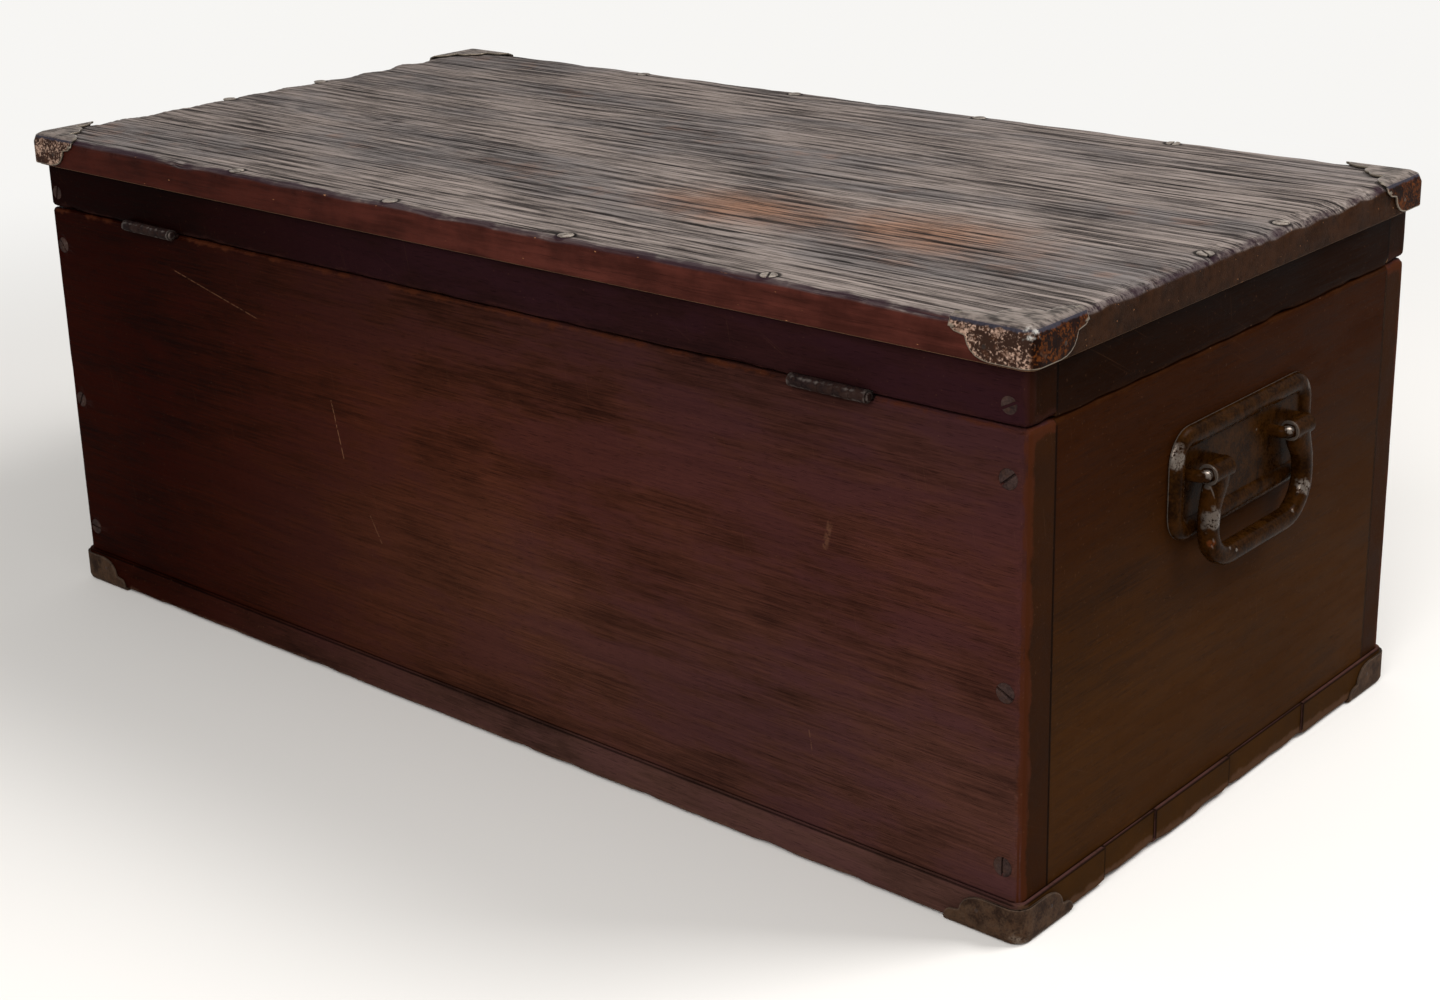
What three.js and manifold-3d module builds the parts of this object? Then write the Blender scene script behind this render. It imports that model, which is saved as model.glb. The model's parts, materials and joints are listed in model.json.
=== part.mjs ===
// A wooden tool chest: boards held by slotted screws, a hinged lid with an overhanging top board,
// pressed corner caps, two drop handles, two butt hinges, a link lock and a sliding till.
// Millimetres. X runs along the chest, its front faces -Y and +Z is up. The origin is under the
// middle of the chest, on the plane that it stands on.

import * as THREE from 'three';
import { mergeVertices } from 'three/addons/utils/BufferGeometryUtils.js';
import Module from 'manifold-3d';

const wasm = await Module();
wasm.setup();

// Carcase
const bodyLength = 711;
const bodyDepth = 356;
const wallHeight = 223;
const wallThick = 22;
const wallCornerRadius = 5;
const wallEdgeRound = 2;
const glueLine = 0.1;

// Floor boards: widths from the back to the front, and how far each one's ends stand back
const floorThick = 18.5;
const floorProud = 2;
const floorEdgeRound = 1.5;
const floorBoardGap = 0.5;
const floorWidthShares = [0.197, 0.126, 0.199, 0.216, 0.262];
const floorEndSetBack = 1.1;
const floorSetBackShares = [0, 0.8, 0, 1, 0];

// Lid
const lidGap = 0.6;
const rimHeight = 26.4;
const topThick = 18;
const topOverhang = 4.2;
const topCornerRadius = 6;
const topEdgeRound = 4;
const topUnderRound = 1.2;

// Corner caps
const capThick = 1.2;
const capSeat = 0.3;
const capReach = 43;
const capHeight = 18.2;

// Corner screws: heights above the foot of the walls
const screwHeights = [16, 101, 200];
const screwFromEnd = 9.5;
const screwHeadRadius = 4.9;
const screwHeadDepth = 3;
const screwShankRadius = 2.3;
const screwLength = 42;
const screwTipLength = 5;
const screwClear = 0.3;
const screwSlotWidth = 1.2;
const screwSlotDepth = 1.3;
const screwTurnStep = 1.15;

// Butt hinges
const hingeLength = 44;
const hingeFromEnd = 103.5;
const hingeLeafThick = 1.6;
const hingeLeafReach = 19;
const hingeBarrelRadius = 3.2;
const hingePinRadius = 1.5;
const hingePinClear = 0.15;
const hingePinHeadRadius = 2.4;
const hingePinHeadLength = 1.1;
const hingeKnuckles = 5;
const hingeKnuckleGap = 0.2;
const hingeClear = 0.35;

// Drop handles
const plateCentreHeight = 162;
const handleForward = 5.5;
const plateWidth = 134;
const plateHeight = 56;
const plateCornerRadius = 16;
const plateRimWidth = 11;
const plateRimHeight = 4.4;
const plateThick = 1.5;
const plateSeat = 0.3;
const bailAxisRise = 5;
const bailStandOff = 10.2;
const bailSpacing = 79;
const bailKnuckleLength = 17.5;
const bailKnuckleRadius = 5.3;
const bailOuterWidth = 102;
const bailDrop = 50;
const bailBarWidth = 10.2;
const bailThick = 9.8;
const bailRound = 3.6;
const bailCornerRadius = 24;
const stapleRadius = 3;
const stapleBendRadius = 3.5;
const stapleClear = 0.3;

// Link lock in the front board
const lockWidth = 64;
const lockHeight = 42;
const lockDepth = 10;
const lockSheet = 1.6;
const lockPlateWidth = 84;
const lockClear = 0.3;
const linkSpacing = 30;
const linkThick = 3;
const linkWidth = 6;
const linkDrop = 13;
const linkEyeWidth = 3.4;
const linkEyeHeight = 6;
const boltThrow = 8;
const boltBarHeight = 9;
const boltProngThick = 2.6;
const boltProngHeight = 4;
const boltRiserLength = 3.5;
const boltLedgeThick = 2;
const keyholeRadius = 2.6;
const keyholeSlotWidth = 2.2;
const keyholeDrop = 9;

// Till and its runners
const runnerThick = 10;
const runnerHeight = 12;
const runnerTop = 145;
const runnerEndGap = 0.3;
const tillLength = 318;
const tillHeight = 50;
const tillSideThick = 9;
const tillFloorThick = 6;
const tillSideGap = 0.8;
const tillRest = 0.3;
const tillEndGap = 1;

// One overrun serves every cut
const overrun = 4;

// Facet counts
const cornerSteps = 4;
const roundSteps = 2;
const outlineSteps = 5;
const screwSides = 12;
const hingeSides = 14;
const knuckleSides = 16;
const rodSides = 8;
const rimSteps = 5;
const bendSteps = 3;

// Levels and half sizes, worked out from the floor up
const capOut = capSeat + capThick;
const floorTop = capOut + floorThick;
const wallBottom = floorTop + glueLine;
const wallTop = wallBottom + wallHeight;
const rimBottom = wallTop + lidGap;
const rimTop = rimBottom + rimHeight;
const topBottom = rimTop + glueLine;
const topTop = topBottom + topThick;
const halfLength = bodyLength / 2;
const halfDepth = bodyDepth / 2;
const innerX = halfLength - wallThick;
const innerY = halfDepth - wallThick;

// Finishes
const finish = (color, roughness, metalness) => (
  new THREE.MeshStandardMaterial({ color, roughness, metalness })
);
const stainedBoard = finish(0x3a1a14, 0.5, 0);
const endGrainBoard = finish(0x34201a, 0.55, 0);
const weatheredTop = finish(0x4a3a33, 0.8, 0);
const floorWood = finish(0x2e1e18, 0.75, 0);
const bareWood = finish(0x8a6a48, 0.7, 0);
const capSteel = finish(0x5a4538, 0.5, 0.8);
const handleSteel = finish(0x2a211c, 0.45, 0.7);
const hingeSteel = finish(0x3a3433, 0.4, 0.9);
const lockBrass = finish(0x7a6238, 0.4, 0.9);
const screwSteel = finish(0x2f2522, 0.5, 0.8);

const chest = new THREE.Group();

// Turns a closed geometry into a solid that can be cut and joined.
function solidOf(geometry) {
  const bare = geometry.index ? geometry.toNonIndexed() : geometry.clone();
  bare.deleteAttribute('normal');
  bare.deleteAttribute('uv');
  const merged = mergeVertices(bare);
  return new wasm.Manifold(new wasm.Mesh({
    numProp: 3,
    vertProperties: merged.attributes.position.array,
    triVerts: new Uint32Array(merged.index.array),
  }));
}

// Turns a solid back into a geometry.
function geometryOf(solid) {
  const mesh = solid.getMesh();
  const shared = new THREE.BufferGeometry();
  shared.setAttribute('position', new THREE.BufferAttribute(new Float32Array(mesh.vertProperties), 3));
  shared.setIndex(new THREE.BufferAttribute(new Uint32Array(mesh.triVerts), 1));
  const faceted = shared.toNonIndexed();
  faceted.computeVertexNormals();
  return faceted;
}

// Adds a named piece to a group.
function addPiece(parent, name, solid, material) {
  const mesh = new THREE.Mesh(geometryOf(solid), material);
  mesh.name = name;
  parent.add(mesh);
  return mesh;
}

// Adds a group at a place, turned about Z.
function addPlace(x, y, z, turn = 0) {
  const place = new THREE.Group();
  place.position.set(x, y, z);
  place.rotation.z = turn;
  chest.add(place);
  place.updateMatrixWorld(true);
  return place;
}

// A solid made in a place's own frame, carried into the frame of the chest.
function inChest(place, solid) {
  return solidOf(geometryOf(solid).applyMatrix4(place.matrixWorld));
}

const joined = (solids) => solids.reduce((all, one) => all.add(one));

// A block between two corners.
function block(x0, x1, y0, y1, z0, z1) {
  const geometry = new THREE.BoxGeometry(x1 - x0, y1 - y0, z1 - z0);
  geometry.translate((x0 + x1) / 2, (y0 + y1) / 2, (z0 + z1) / 2);
  return solidOf(geometry);
}

// Cylinders along X and along Y, at a place across that axis.
function cylinderAlongX(radius, from, to, y, z, sides) {
  const geometry = new THREE.CylinderGeometry(radius, radius, to - from, sides);
  geometry.rotateZ(-Math.PI / 2);
  geometry.translate((from + to) / 2, y, z);
  return solidOf(geometry);
}

function cylinderAlongY(radius, from, to, x, z, sides) {
  const geometry = new THREE.CylinderGeometry(radius, radius, to - from, sides);
  geometry.translate(x, (from + to) / 2, z);
  return solidOf(geometry);
}

// A body of revolution about Y from a list of radii and places along the axis.
function turned(points, sides) {
  return new THREE.LatheGeometry(points.map(([radius, along]) => new THREE.Vector2(radius, along)), sides);
}

// A rectangle with round corners, centred on the origin.
function roundedRectangle(width, depth, radius) {
  const shape = new THREE.Shape();
  const x = width / 2 - radius;
  const y = depth / 2 - radius;
  shape.absarc(x, y, radius, 0, Math.PI / 2, false);
  shape.absarc(-x, y, radius, Math.PI / 2, Math.PI, false);
  shape.absarc(-x, -y, radius, Math.PI, Math.PI * 1.5, false);
  shape.absarc(x, -y, radius, Math.PI * 1.5, Math.PI * 2, false);
  return shape;
}

// A slab with round corners, extruded up; round bevels both of its edges where it isn't zero.
function slabGeometry(width, depth, low, high, radius, round) {
  const geometry = new THREE.ExtrudeGeometry(roundedRectangle(width, depth, radius), {
    depth: high - low - 2 * round,
    curveSegments: cornerSteps,
    bevelEnabled: round > 0,
    bevelThickness: round,
    bevelSize: round,
    bevelOffset: -round,
    bevelSegments: roundSteps,
  });
  geometry.translate(0, 0, low + round);
  return geometry;
}

// A slab whose upper and lower edges are rounded over by different amounts.
function roundedSlab(width, depth, low, high, radius, upperRound, lowerRound) {
  const spare = 2 * (upperRound + lowerRound) + overrun;
  const upper = solidOf(slabGeometry(width, depth, low - spare, high, radius, upperRound));
  const lower = solidOf(slabGeometry(width, depth, low, high + spare, radius, lowerRound));
  return upper.intersect(lower);
}

// Joins rings of points into one closed geometry, with a fan over the first ring and the last.
function loft(rings) {
  const count = rings[0].length;
  const last = (rings.length - 1) * count;
  const middleOf = (ring) => ring.reduce((sum, p) => sum.add(p), new THREE.Vector3()).divideScalar(count);
  const points = [...rings.flat(), middleOf(rings[0]), middleOf(rings[rings.length - 1])];
  const firstMiddle = points.length - 2;
  const lastMiddle = points.length - 1;
  const faces = [];
  for (let i = 0; i < count; i += 1) {
    const next = (i + 1) % count;
    faces.push(firstMiddle, next, i);
    faces.push(lastMiddle, last + i, last + next);
    for (let a = 0; a < last; a += count) {
      const b = a + count;
      faces.push(a + i, a + next, b + next);
      faces.push(a + i, b + next, b + i);
    }
  }
  const geometry = new THREE.BufferGeometry();
  const numbers = points.flatMap((p) => [p.x, p.y, p.z]);
  geometry.setAttribute('position', new THREE.Float32BufferAttribute(numbers, 3));
  geometry.setIndex(faces);
  return geometry;
}

// Corner screws: countersunk wood screws along +Y, with the head flush at y = 0
function screwOutline(extra) {
  return [
    [0, 0],
    [screwHeadRadius + extra, 0],
    [screwShankRadius + extra, screwHeadDepth],
    [screwShankRadius + extra, screwLength - screwTipLength],
    [0, screwLength + extra],
  ];
}

function screw() {
  const half = screwSlotWidth / 2;
  const reach = screwHeadRadius + overrun;
  const slot = block(-half, half, -overrun, screwSlotDepth, -reach, reach);
  return solidOf(turned(screwOutline(0), screwSides)).subtract(slot);
}

function screwHole() {
  const hole = solidOf(turned(screwOutline(screwClear), screwSides));
  return hole.add(cylinderAlongY(screwHeadRadius + screwClear, -overrun, 0, 0, 0, screwSides));
}

const sides = [['right', 1], ['left', -1]];
const faces = [['back', 1], ['front', -1]];
const screws = [];
for (const [face, out] of faces) {
  for (const [end, side] of sides) {
    screwHeights.forEach((height, index) => {
      const x = side * (halfLength - screwFromEnd);
      const place = addPlace(x, out * halfDepth, wallBottom + height, out > 0 ? Math.PI : 0);
      const turn = (index + side) * screwTurnStep;
      screws.push({ place, name: `screw_${face}_${end}_${index + 1}`, turn });
    });
  }
}
const screwHoles = joined(screws.map(({ place }) => inChest(place, screwHole())));
for (const { place, name, turn } of screws) {
  addPiece(place, name, screw(), screwSteel).rotation.y = turn;
}

// Butt hinges, with the barrel on the X axis of their own place
const hingeOut = topOverhang + capOut - hingeBarrelRadius;
const hingeY = halfDepth + hingeOut;
const hingeZ = wallTop + lidGap / 2;
const leafNear = lidGap / 2;
const leafFar = leafNear + hingeLeafThick;

// The lower leaf carries the even knuckles of the barrel, the upper leaf the odd ones.
function hingeLeaf(upper) {
  const half = hingeLength / 2;
  const pitch = hingeLength / hingeKnuckles;
  const low = upper ? leafNear : -leafFar;
  const high = upper ? leafFar : -leafNear;
  let leaf = block(-half, half, -hingeLeafReach - hingeOut, 0, low, high);
  for (const own of [false, true]) {
    for (let index = 0; index < hingeKnuckles; index += 1) {
      if (((index % 2 === 1) === upper) === own) {
        const spread = own ? -hingeKnuckleGap / 2 : hingeKnuckleGap / 2;
        const radius = own ? hingeBarrelRadius : hingeBarrelRadius + hingeClear;
        const from = index * pitch - half - spread;
        const knuckle = cylinderAlongX(radius, from, from + pitch + 2 * spread, 0, 0, hingeSides);
        leaf = own ? leaf.add(knuckle) : leaf.subtract(knuckle);
      }
    }
  }
  const bore = cylinderAlongX(hingePinRadius + hingePinClear, -hingeLength, hingeLength, 0, 0, hingeSides);
  return leaf.subtract(bore);
}

function hingePin() {
  const half = hingeLength / 2;
  const tip = half + hingePinHeadLength;
  const soft = hingePinHeadLength / 2;
  const geometry = turned([
    [0, -tip],
    [hingePinHeadRadius - soft, -tip],
    [hingePinHeadRadius, soft - tip],
    [hingePinHeadRadius, -half],
    [hingePinRadius, -half],
    [hingePinRadius, half],
    [hingePinHeadRadius, half],
    [hingePinHeadRadius, tip - soft],
    [hingePinHeadRadius - soft, tip],
    [0, tip],
  ], screwSides);
  geometry.rotateZ(-Math.PI / 2);
  return solidOf(geometry);
}

// The mortise that a leaf lies in, with the scoop behind its barrel.
function hingePocket(upper) {
  const half = hingeLength / 2 + hingeClear;
  const ends = half + hingePinHeadLength;
  const mouth = leafNear - overrun;
  const floor = leafFar + hingeClear;
  const low = upper ? mouth : -floor;
  const high = upper ? floor : -mouth;
  const mortise = block(-half, half, -hingeLeafReach - hingeOut - hingeClear, overrun, low, high);
  return mortise.add(cylinderAlongX(hingeBarrelRadius + hingeClear, -ends, ends, 0, 0, hingeSides));
}

const hingeX = halfLength - hingeFromEnd;
const hingePlaces = sides.map(([end, side]) => [end, addPlace(side * hingeX, hingeY, hingeZ)]);
for (const [end, place] of hingePlaces) {
  addPiece(place, `${end}_hinge_lower_leaf`, hingeLeaf(false), hingeSteel);
  addPiece(place, `${end}_hinge_upper_leaf`, hingeLeaf(true), hingeSteel);
  addPiece(place, `${end}_hinge_pin`, hingePin(), hingeSteel);
}
const hingePockets = (upper) => joined(hingePlaces.map(([, place]) => inChest(place, hingePocket(upper))));

// Link lock, set out from the top edge and the inner face of the front board
const lockFace = -innerY;
const lockFront = lockFace - lockDepth;
const lockMiddle = (lockFace + lockFront) / 2;
const lockBottom = wallTop - lockHeight;
const lockTopUnder = wallTop - lockSheet;
const linkXs = [-linkSpacing / 2, linkSpacing / 2];
const linkBottom = rimBottom - linkDrop;
const eyeMiddle = linkBottom + linkThick / 2 + linkEyeHeight / 2;
const boltBarTop = linkBottom - lockClear;
const boltBarBottom = boltBarTop - boltBarHeight;
const keyholeTop = boltBarBottom - lockClear;

// A keyhole cut along Y: a round bow over a slot.
function keyhole(from, to) {
  const bowHeight = keyholeTop - keyholeRadius;
  const half = keyholeSlotWidth / 2;
  const slot = block(-half, half, from, to, bowHeight - keyholeDrop, bowHeight);
  return slot.add(cylinderAlongY(keyholeRadius, from, to, 0, bowHeight, screwSides));
}

// The case: a folded box under a wider top plate, with two slots for the links and two ledges
// inside that the bolt slides on.
function lockCase(grow) {
  const half = lockWidth / 2 + grow;
  const plateHalf = lockPlateWidth / 2 + grow;
  const back = grow > 0 ? lockFace + overrun : lockFace;
  const top = grow > 0 ? wallTop + overrun : wallTop;
  const shell = block(-half, half, lockFront - grow, back, lockBottom - grow, top);
  return shell.add(block(-plateHalf, plateHalf, lockFront - grow, back, lockTopUnder - grow, top));
}

function hollowLockCase() {
  const half = lockWidth / 2 - lockSheet;
  const inside = block(
    -half, half, lockFront + lockSheet, lockFace - lockSheet, lockBottom + lockSheet, lockTopUnder,
  );
  const slotHalf = linkThick / 2 + lockClear;
  const slotWide = linkWidth / 2 + lockClear;
  const slots = linkXs.map((x) => block(
    x - slotHalf, x + slotHalf, lockMiddle - slotWide, lockMiddle + slotWide,
    lockTopUnder - lockSheet, wallTop + overrun,
  ));
  const ledgeTop = boltBarBottom - lockClear;
  const ledges = sides.map(([, side]) => {
    const near = side * 2 * keyholeRadius;
    const far = side * (lockWidth / 2 - lockSheet / 2);
    return block(
      Math.min(near, far), Math.max(near, far),
      lockFront + lockSheet / 2, lockFace - lockSheet / 2, ledgeTop - boltLedgeThick, ledgeTop,
    );
  });
  const folded = lockCase(0).subtract(inside).subtract(joined(slots)).add(joined(ledges));
  return folded.subtract(keyhole(lockFront - overrun, lockMiddle));
}

// The bolt: a bar guided by the case, with two prongs that slide through the eyes of the links.
function lockBolt() {
  const barHalf = lockDepth / 2 - lockSheet - lockClear;
  const prongHalf = boltProngThick / 2;
  const tipBack = linkThick / 2 + lockClear;
  const prongLength = boltThrow + boltRiserLength;
  const start = linkXs[0] - tipBack - prongLength;
  const end = linkXs[1] - tipBack;
  const bar = block(start, end, lockMiddle - barHalf, lockMiddle + barHalf, boltBarBottom, boltBarTop);
  const prongs = linkXs.flatMap((x) => {
    const root = x - tipBack - prongLength;
    const low = eyeMiddle - boltProngHeight / 2;
    const high = eyeMiddle + boltProngHeight / 2;
    const near = lockMiddle - prongHalf;
    const far = lockMiddle + prongHalf;
    return [
      block(root, root + boltRiserLength, near, far, boltBarBottom, high),
      block(root, x - tipBack, near, far, low, high),
    ];
  });
  return bar.add(joined(prongs));
}

// The plate under the lid with the two links that drop into the case.
function linkPlate() {
  const half = lockPlateWidth / 2;
  const plate = block(-half, half, lockFront, lockFace, rimBottom, rimBottom + lockSheet);
  const links = linkXs.map((x) => {
    const near = x - linkThick / 2;
    const far = x + linkThick / 2;
    const wide = linkWidth / 2;
    const eyeHalf = linkEyeWidth / 2;
    const eyeLow = eyeMiddle - linkEyeHeight / 2;
    const eyeHigh = eyeMiddle + linkEyeHeight / 2;
    const link = block(
      near, far, lockMiddle - wide, lockMiddle + wide, linkBottom, rimBottom + lockSheet / 2,
    );
    const eye = block(
      near - overrun, far + overrun, lockMiddle - eyeHalf, lockMiddle + eyeHalf, eyeLow, eyeHigh,
    );
    return link.subtract(eye);
  });
  return plate.add(joined(links));
}

const linkPocketHalf = lockPlateWidth / 2 + lockClear;
const linkPocket = block(
  -linkPocketHalf, linkPocketHalf, lockFront - lockClear, lockFace + overrun,
  rimBottom - overrun, rimBottom + lockSheet + lockClear,
);
addPiece(chest, 'lock_case', hollowLockCase(), lockBrass);
addPiece(chest, 'lock_bolt', lockBolt(), lockBrass);
addPiece(chest, 'lock_link_plate', linkPlate(), lockBrass);

// Drop handles, in a place whose X points out of the wall, with Z = 0 on the bail's axis
const knuckleYs = [-bailSpacing / 2, bailSpacing / 2];
const legReach = bailKnuckleLength / 2 + stapleClear + stapleBendRadius;
const legYs = knuckleYs.flatMap((y) => [y - legReach, y + legReach]);

// The pressed back plate: a sheet whose hollow rim swells out of the wall round a flat panel.
function handlePlate() {
  const ring = (inset, out) => {
    const radius = plateCornerRadius - inset;
    const shape = roundedRectangle(plateWidth - 2 * inset, plateHeight - 2 * inset, radius);
    return shape.extractPoints(cornerSteps).shape.map((p) => new THREE.Vector3(out, p.x, p.y - bailAxisRise));
  };
  const arch = (inset, height, level) => {
    const half = plateRimWidth / 2 - inset;
    const stop = Math.PI - Math.asin(level / height);
    return Array.from({ length: rimSteps + 1 }, (_, step) => {
      const angle = step / rimSteps * stop;
      return ring(plateRimWidth / 2 - half * Math.cos(angle), plateSeat + height * Math.sin(angle));
    });
  };
  const inside = arch(plateThick, plateRimHeight - plateThick, 0).reverse();
  const outside = arch(0, plateRimHeight, plateThick);
  return solidOf(loft([...inside, ...outside]));
}

// A staple: a rod out of the wall, along the knuckle's axis and back into the wall.
function staple() {
  const barHalf = legReach - stapleBendRadius;
  const bendStart = bailStandOff - stapleBendRadius;
  const stations = [[stapleClear - wallThick, -legReach, 0]];
  for (const side of [-1, 1]) {
    for (let step = 0; step <= bendSteps; step += 1) {
      const share = side < 0 ? step / bendSteps : 1 - step / bendSteps;
      const angle = share * Math.PI / 2;
      const x = bendStart + stapleBendRadius * Math.sin(angle);
      const y = side * (barHalf + stapleBendRadius * Math.cos(angle));
      stations.push([x, y, side < 0 ? angle : Math.PI - angle]);
    }
  }
  stations.push([stapleClear - wallThick, legReach, Math.PI]);
  return solidOf(loft(stations.map(([x, y, heading]) => {
    const across = new THREE.Vector3(-Math.sin(heading), Math.cos(heading), 0);
    return Array.from({ length: rodSides }, (_, index) => {
      const angle = index / rodSides * Math.PI * 2;
      const point = new THREE.Vector3(x, y, stapleRadius * Math.sin(angle));
      return point.addScaledVector(across, stapleRadius * Math.cos(angle));
    });
  })));
}

function legHoles() {
  const radius = stapleRadius + stapleClear;
  const from = -wallThick - overrun;
  const to = plateRimHeight + overrun;
  return joined(legYs.map((y) => cylinderAlongX(radius, from, to, y, 0, screwSides)));
}

// The bail: a thick bar bent round the hand, with a knuckle at the top of each arm.
const bailWaistShare = 0.2;
const bailFlareShare = 0.5;
const bailInnerCornerShare = 0.575;

function bailOutline() {
  const outer = bailOuterWidth / 2;
  const inner = outer - bailBarWidth;
  const knuckleOut = bailSpacing / 2 + bailKnuckleLength / 2;
  const knuckleIn = bailSpacing / 2 - bailKnuckleLength / 2;
  const waist = -bailDrop * bailWaistShare;
  const flare = -bailDrop * bailFlareShare;
  const cornerX = outer - bailCornerRadius;
  const cornerZ = bailCornerRadius - bailDrop;
  const innerRadius = bailCornerRadius * bailInnerCornerShare;
  const innerX0 = inner - innerRadius;
  const innerZ = bailBarWidth - bailDrop + innerRadius;
  const shape = new THREE.Shape();
  shape.moveTo(knuckleOut, 0);
  shape.lineTo(knuckleIn, 0);
  shape.bezierCurveTo(knuckleIn, waist, inner, waist, inner, flare);
  shape.absarc(innerX0, innerZ, innerRadius, 0, -Math.PI / 2, true);
  shape.absarc(-innerX0, innerZ, innerRadius, -Math.PI / 2, -Math.PI, true);
  shape.lineTo(-inner, flare);
  shape.bezierCurveTo(-inner, waist, -knuckleIn, waist, -knuckleIn, 0);
  shape.lineTo(-knuckleOut, 0);
  shape.bezierCurveTo(-knuckleOut, waist, -outer, waist, -outer, flare);
  shape.absarc(-cornerX, cornerZ, bailCornerRadius, Math.PI, Math.PI * 1.5, false);
  shape.absarc(cornerX, cornerZ, bailCornerRadius, Math.PI * 1.5, Math.PI * 2, false);
  shape.lineTo(outer, flare);
  shape.bezierCurveTo(outer, waist, knuckleOut, waist, knuckleOut, 0);
  return shape;
}

function bail() {
  const geometry = new THREE.ExtrudeGeometry(bailOutline(), {
    depth: bailThick - 2 * bailRound,
    curveSegments: outlineSteps,
    bevelEnabled: true,
    bevelThickness: bailRound,
    bevelSize: bailRound,
    bevelOffset: -bailRound,
    bevelSegments: roundSteps,
  });
  geometry.translate(0, 0, bailRound - bailThick / 2);
  geometry.rotateX(Math.PI / 2);
  geometry.rotateZ(Math.PI / 2);
  const half = bailKnuckleLength / 2;
  const around = (radius, y, reach) => cylinderAlongY(radius, y - reach, y + reach, 0, 0, knuckleSides);
  const knuckles = knuckleYs.map((y) => around(bailKnuckleRadius, y, half));
  const bores = knuckleYs.map((y) => around(stapleRadius + stapleClear, y, half + overrun));
  return solidOf(geometry).add(joined(knuckles)).subtract(joined(bores));
}

// Boards of a frame: the front and back run its full length and the ends stand between them
function alongFace(side, low, high) {
  const inner = side * innerY;
  const outer = side * (halfDepth + overrun);
  const reach = halfLength + overrun;
  return block(-reach, reach, Math.min(inner, outer), Math.max(inner, outer), low, high);
}

function acrossEnd(side, low, high) {
  const inner = side * innerX;
  const outer = side * (halfLength + overrun);
  const reach = innerY - glueLine;
  return block(Math.min(inner, outer), Math.max(inner, outer), -reach, reach, low, high);
}

const wallEnvelope = roundedSlab(
  bodyLength, bodyDepth, wallBottom, wallTop, wallCornerRadius, wallEdgeRound, 0,
);
const wall = (blank) => blank.intersect(wallEnvelope).subtract(screwHoles);
const frontBoard = wall(alongFace(-1, wallBottom, wallTop))
  .subtract(lockCase(lockClear))
  .subtract(keyhole(-halfDepth - overrun, lockFront));
const backBoard = wall(alongFace(1, wallBottom, wallTop)).subtract(hingePockets(false));
addPiece(chest, 'front_board', frontBoard, stainedBoard);
addPiece(chest, 'back_board', backBoard, stainedBoard);

for (const [end, side] of sides) {
  const bailZ = wallBottom + plateCentreHeight + bailAxisRise;
  const place = addPlace(side * halfLength, -handleForward, bailZ, side > 0 ? 0 : Math.PI);
  const board = wall(acrossEnd(side, wallBottom, wallTop)).subtract(inChest(place, legHoles()));
  addPiece(chest, `${end}_end_board`, board, endGrainBoard);
  addPiece(place, `${end}_handle_plate`, handlePlate().subtract(legHoles()), handleSteel);
  addPiece(place, `${end}_bail`, bail(), handleSteel).position.x = bailStandOff;
  knuckleYs.forEach((y, index) => {
    addPiece(place, `${end}_staple_${index + 1}`, staple(), handleSteel).position.y = y;
  });
}

// Floor boards, side by side from the back to the front
const floorLength = bodyLength + 2 * floorProud;
const floorDepth = bodyDepth + 2 * floorProud;
const floorEnvelope = roundedSlab(
  floorLength, floorDepth, capOut, floorTop, wallCornerRadius + floorProud, 0, floorEdgeRound,
);
let floorEdge = floorDepth / 2;
floorWidthShares.forEach((share, index) => {
  const width = share * floorDepth;
  const first = index === 0;
  const last = index === floorWidthShares.length - 1;
  const high = first ? floorEdge + overrun : floorEdge - floorBoardGap / 2;
  const low = last ? floorEdge - width - overrun : floorEdge - width + floorBoardGap / 2;
  const reach = floorLength / 2 - floorEndSetBack * floorSetBackShares[index];
  const blank = block(-reach, reach, low, high, capOut, floorTop);
  addPiece(chest, `floor_board_${index + 1}`, blank.intersect(floorEnvelope), floorWood);
  floorEdge -= width;
});

// Lid: a rim of four boards under an overhanging top board
const rimEnvelope = roundedSlab(bodyLength, bodyDepth, rimBottom, rimTop, wallCornerRadius, 0, wallEdgeRound);
const rim = (blank) => blank.intersect(rimEnvelope);
const backRim = rim(alongFace(1, rimBottom, rimTop)).subtract(hingePockets(true));
const frontRim = rim(alongFace(-1, rimBottom, rimTop)).subtract(linkPocket);
addPiece(chest, 'lid_back_rim', backRim, stainedBoard);
addPiece(chest, 'lid_front_rim', frontRim, stainedBoard);
for (const [end, side] of sides) {
  addPiece(chest, `lid_${end}_rim`, rim(acrossEnd(side, rimBottom, rimTop)), endGrainBoard);
}
const topLength = bodyLength + 2 * topOverhang;
const topDepth = bodyDepth + 2 * topOverhang;
const topBoard = roundedSlab(
  topLength, topDepth, topBottom, topTop, topCornerRadius, topEdgeRound, topUnderRound,
);
addPiece(chest, 'lid_top_board', topBoard, weatheredTop);

// Corner caps: outlines of the face leaf and the side leaves, as shares of their reach and height
const faceTipShare = [1, 0.17];
const faceShoulderShare = [0.8, 0.26];
const faceNotchShare = [0.62, 0.27];
const faceLobeShare = [0.66, 0.45];
const faceCrownShare = 0.51;
const sideTipShare = [1, 0.42];
const sideShoulderShare = [0.88, 0.42];
const sideNotchShare = [0.8, 0.46];
const sideBulgeShare = [0.76, 0.97];
const sideFlatShare = [0.5, 1];

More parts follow.
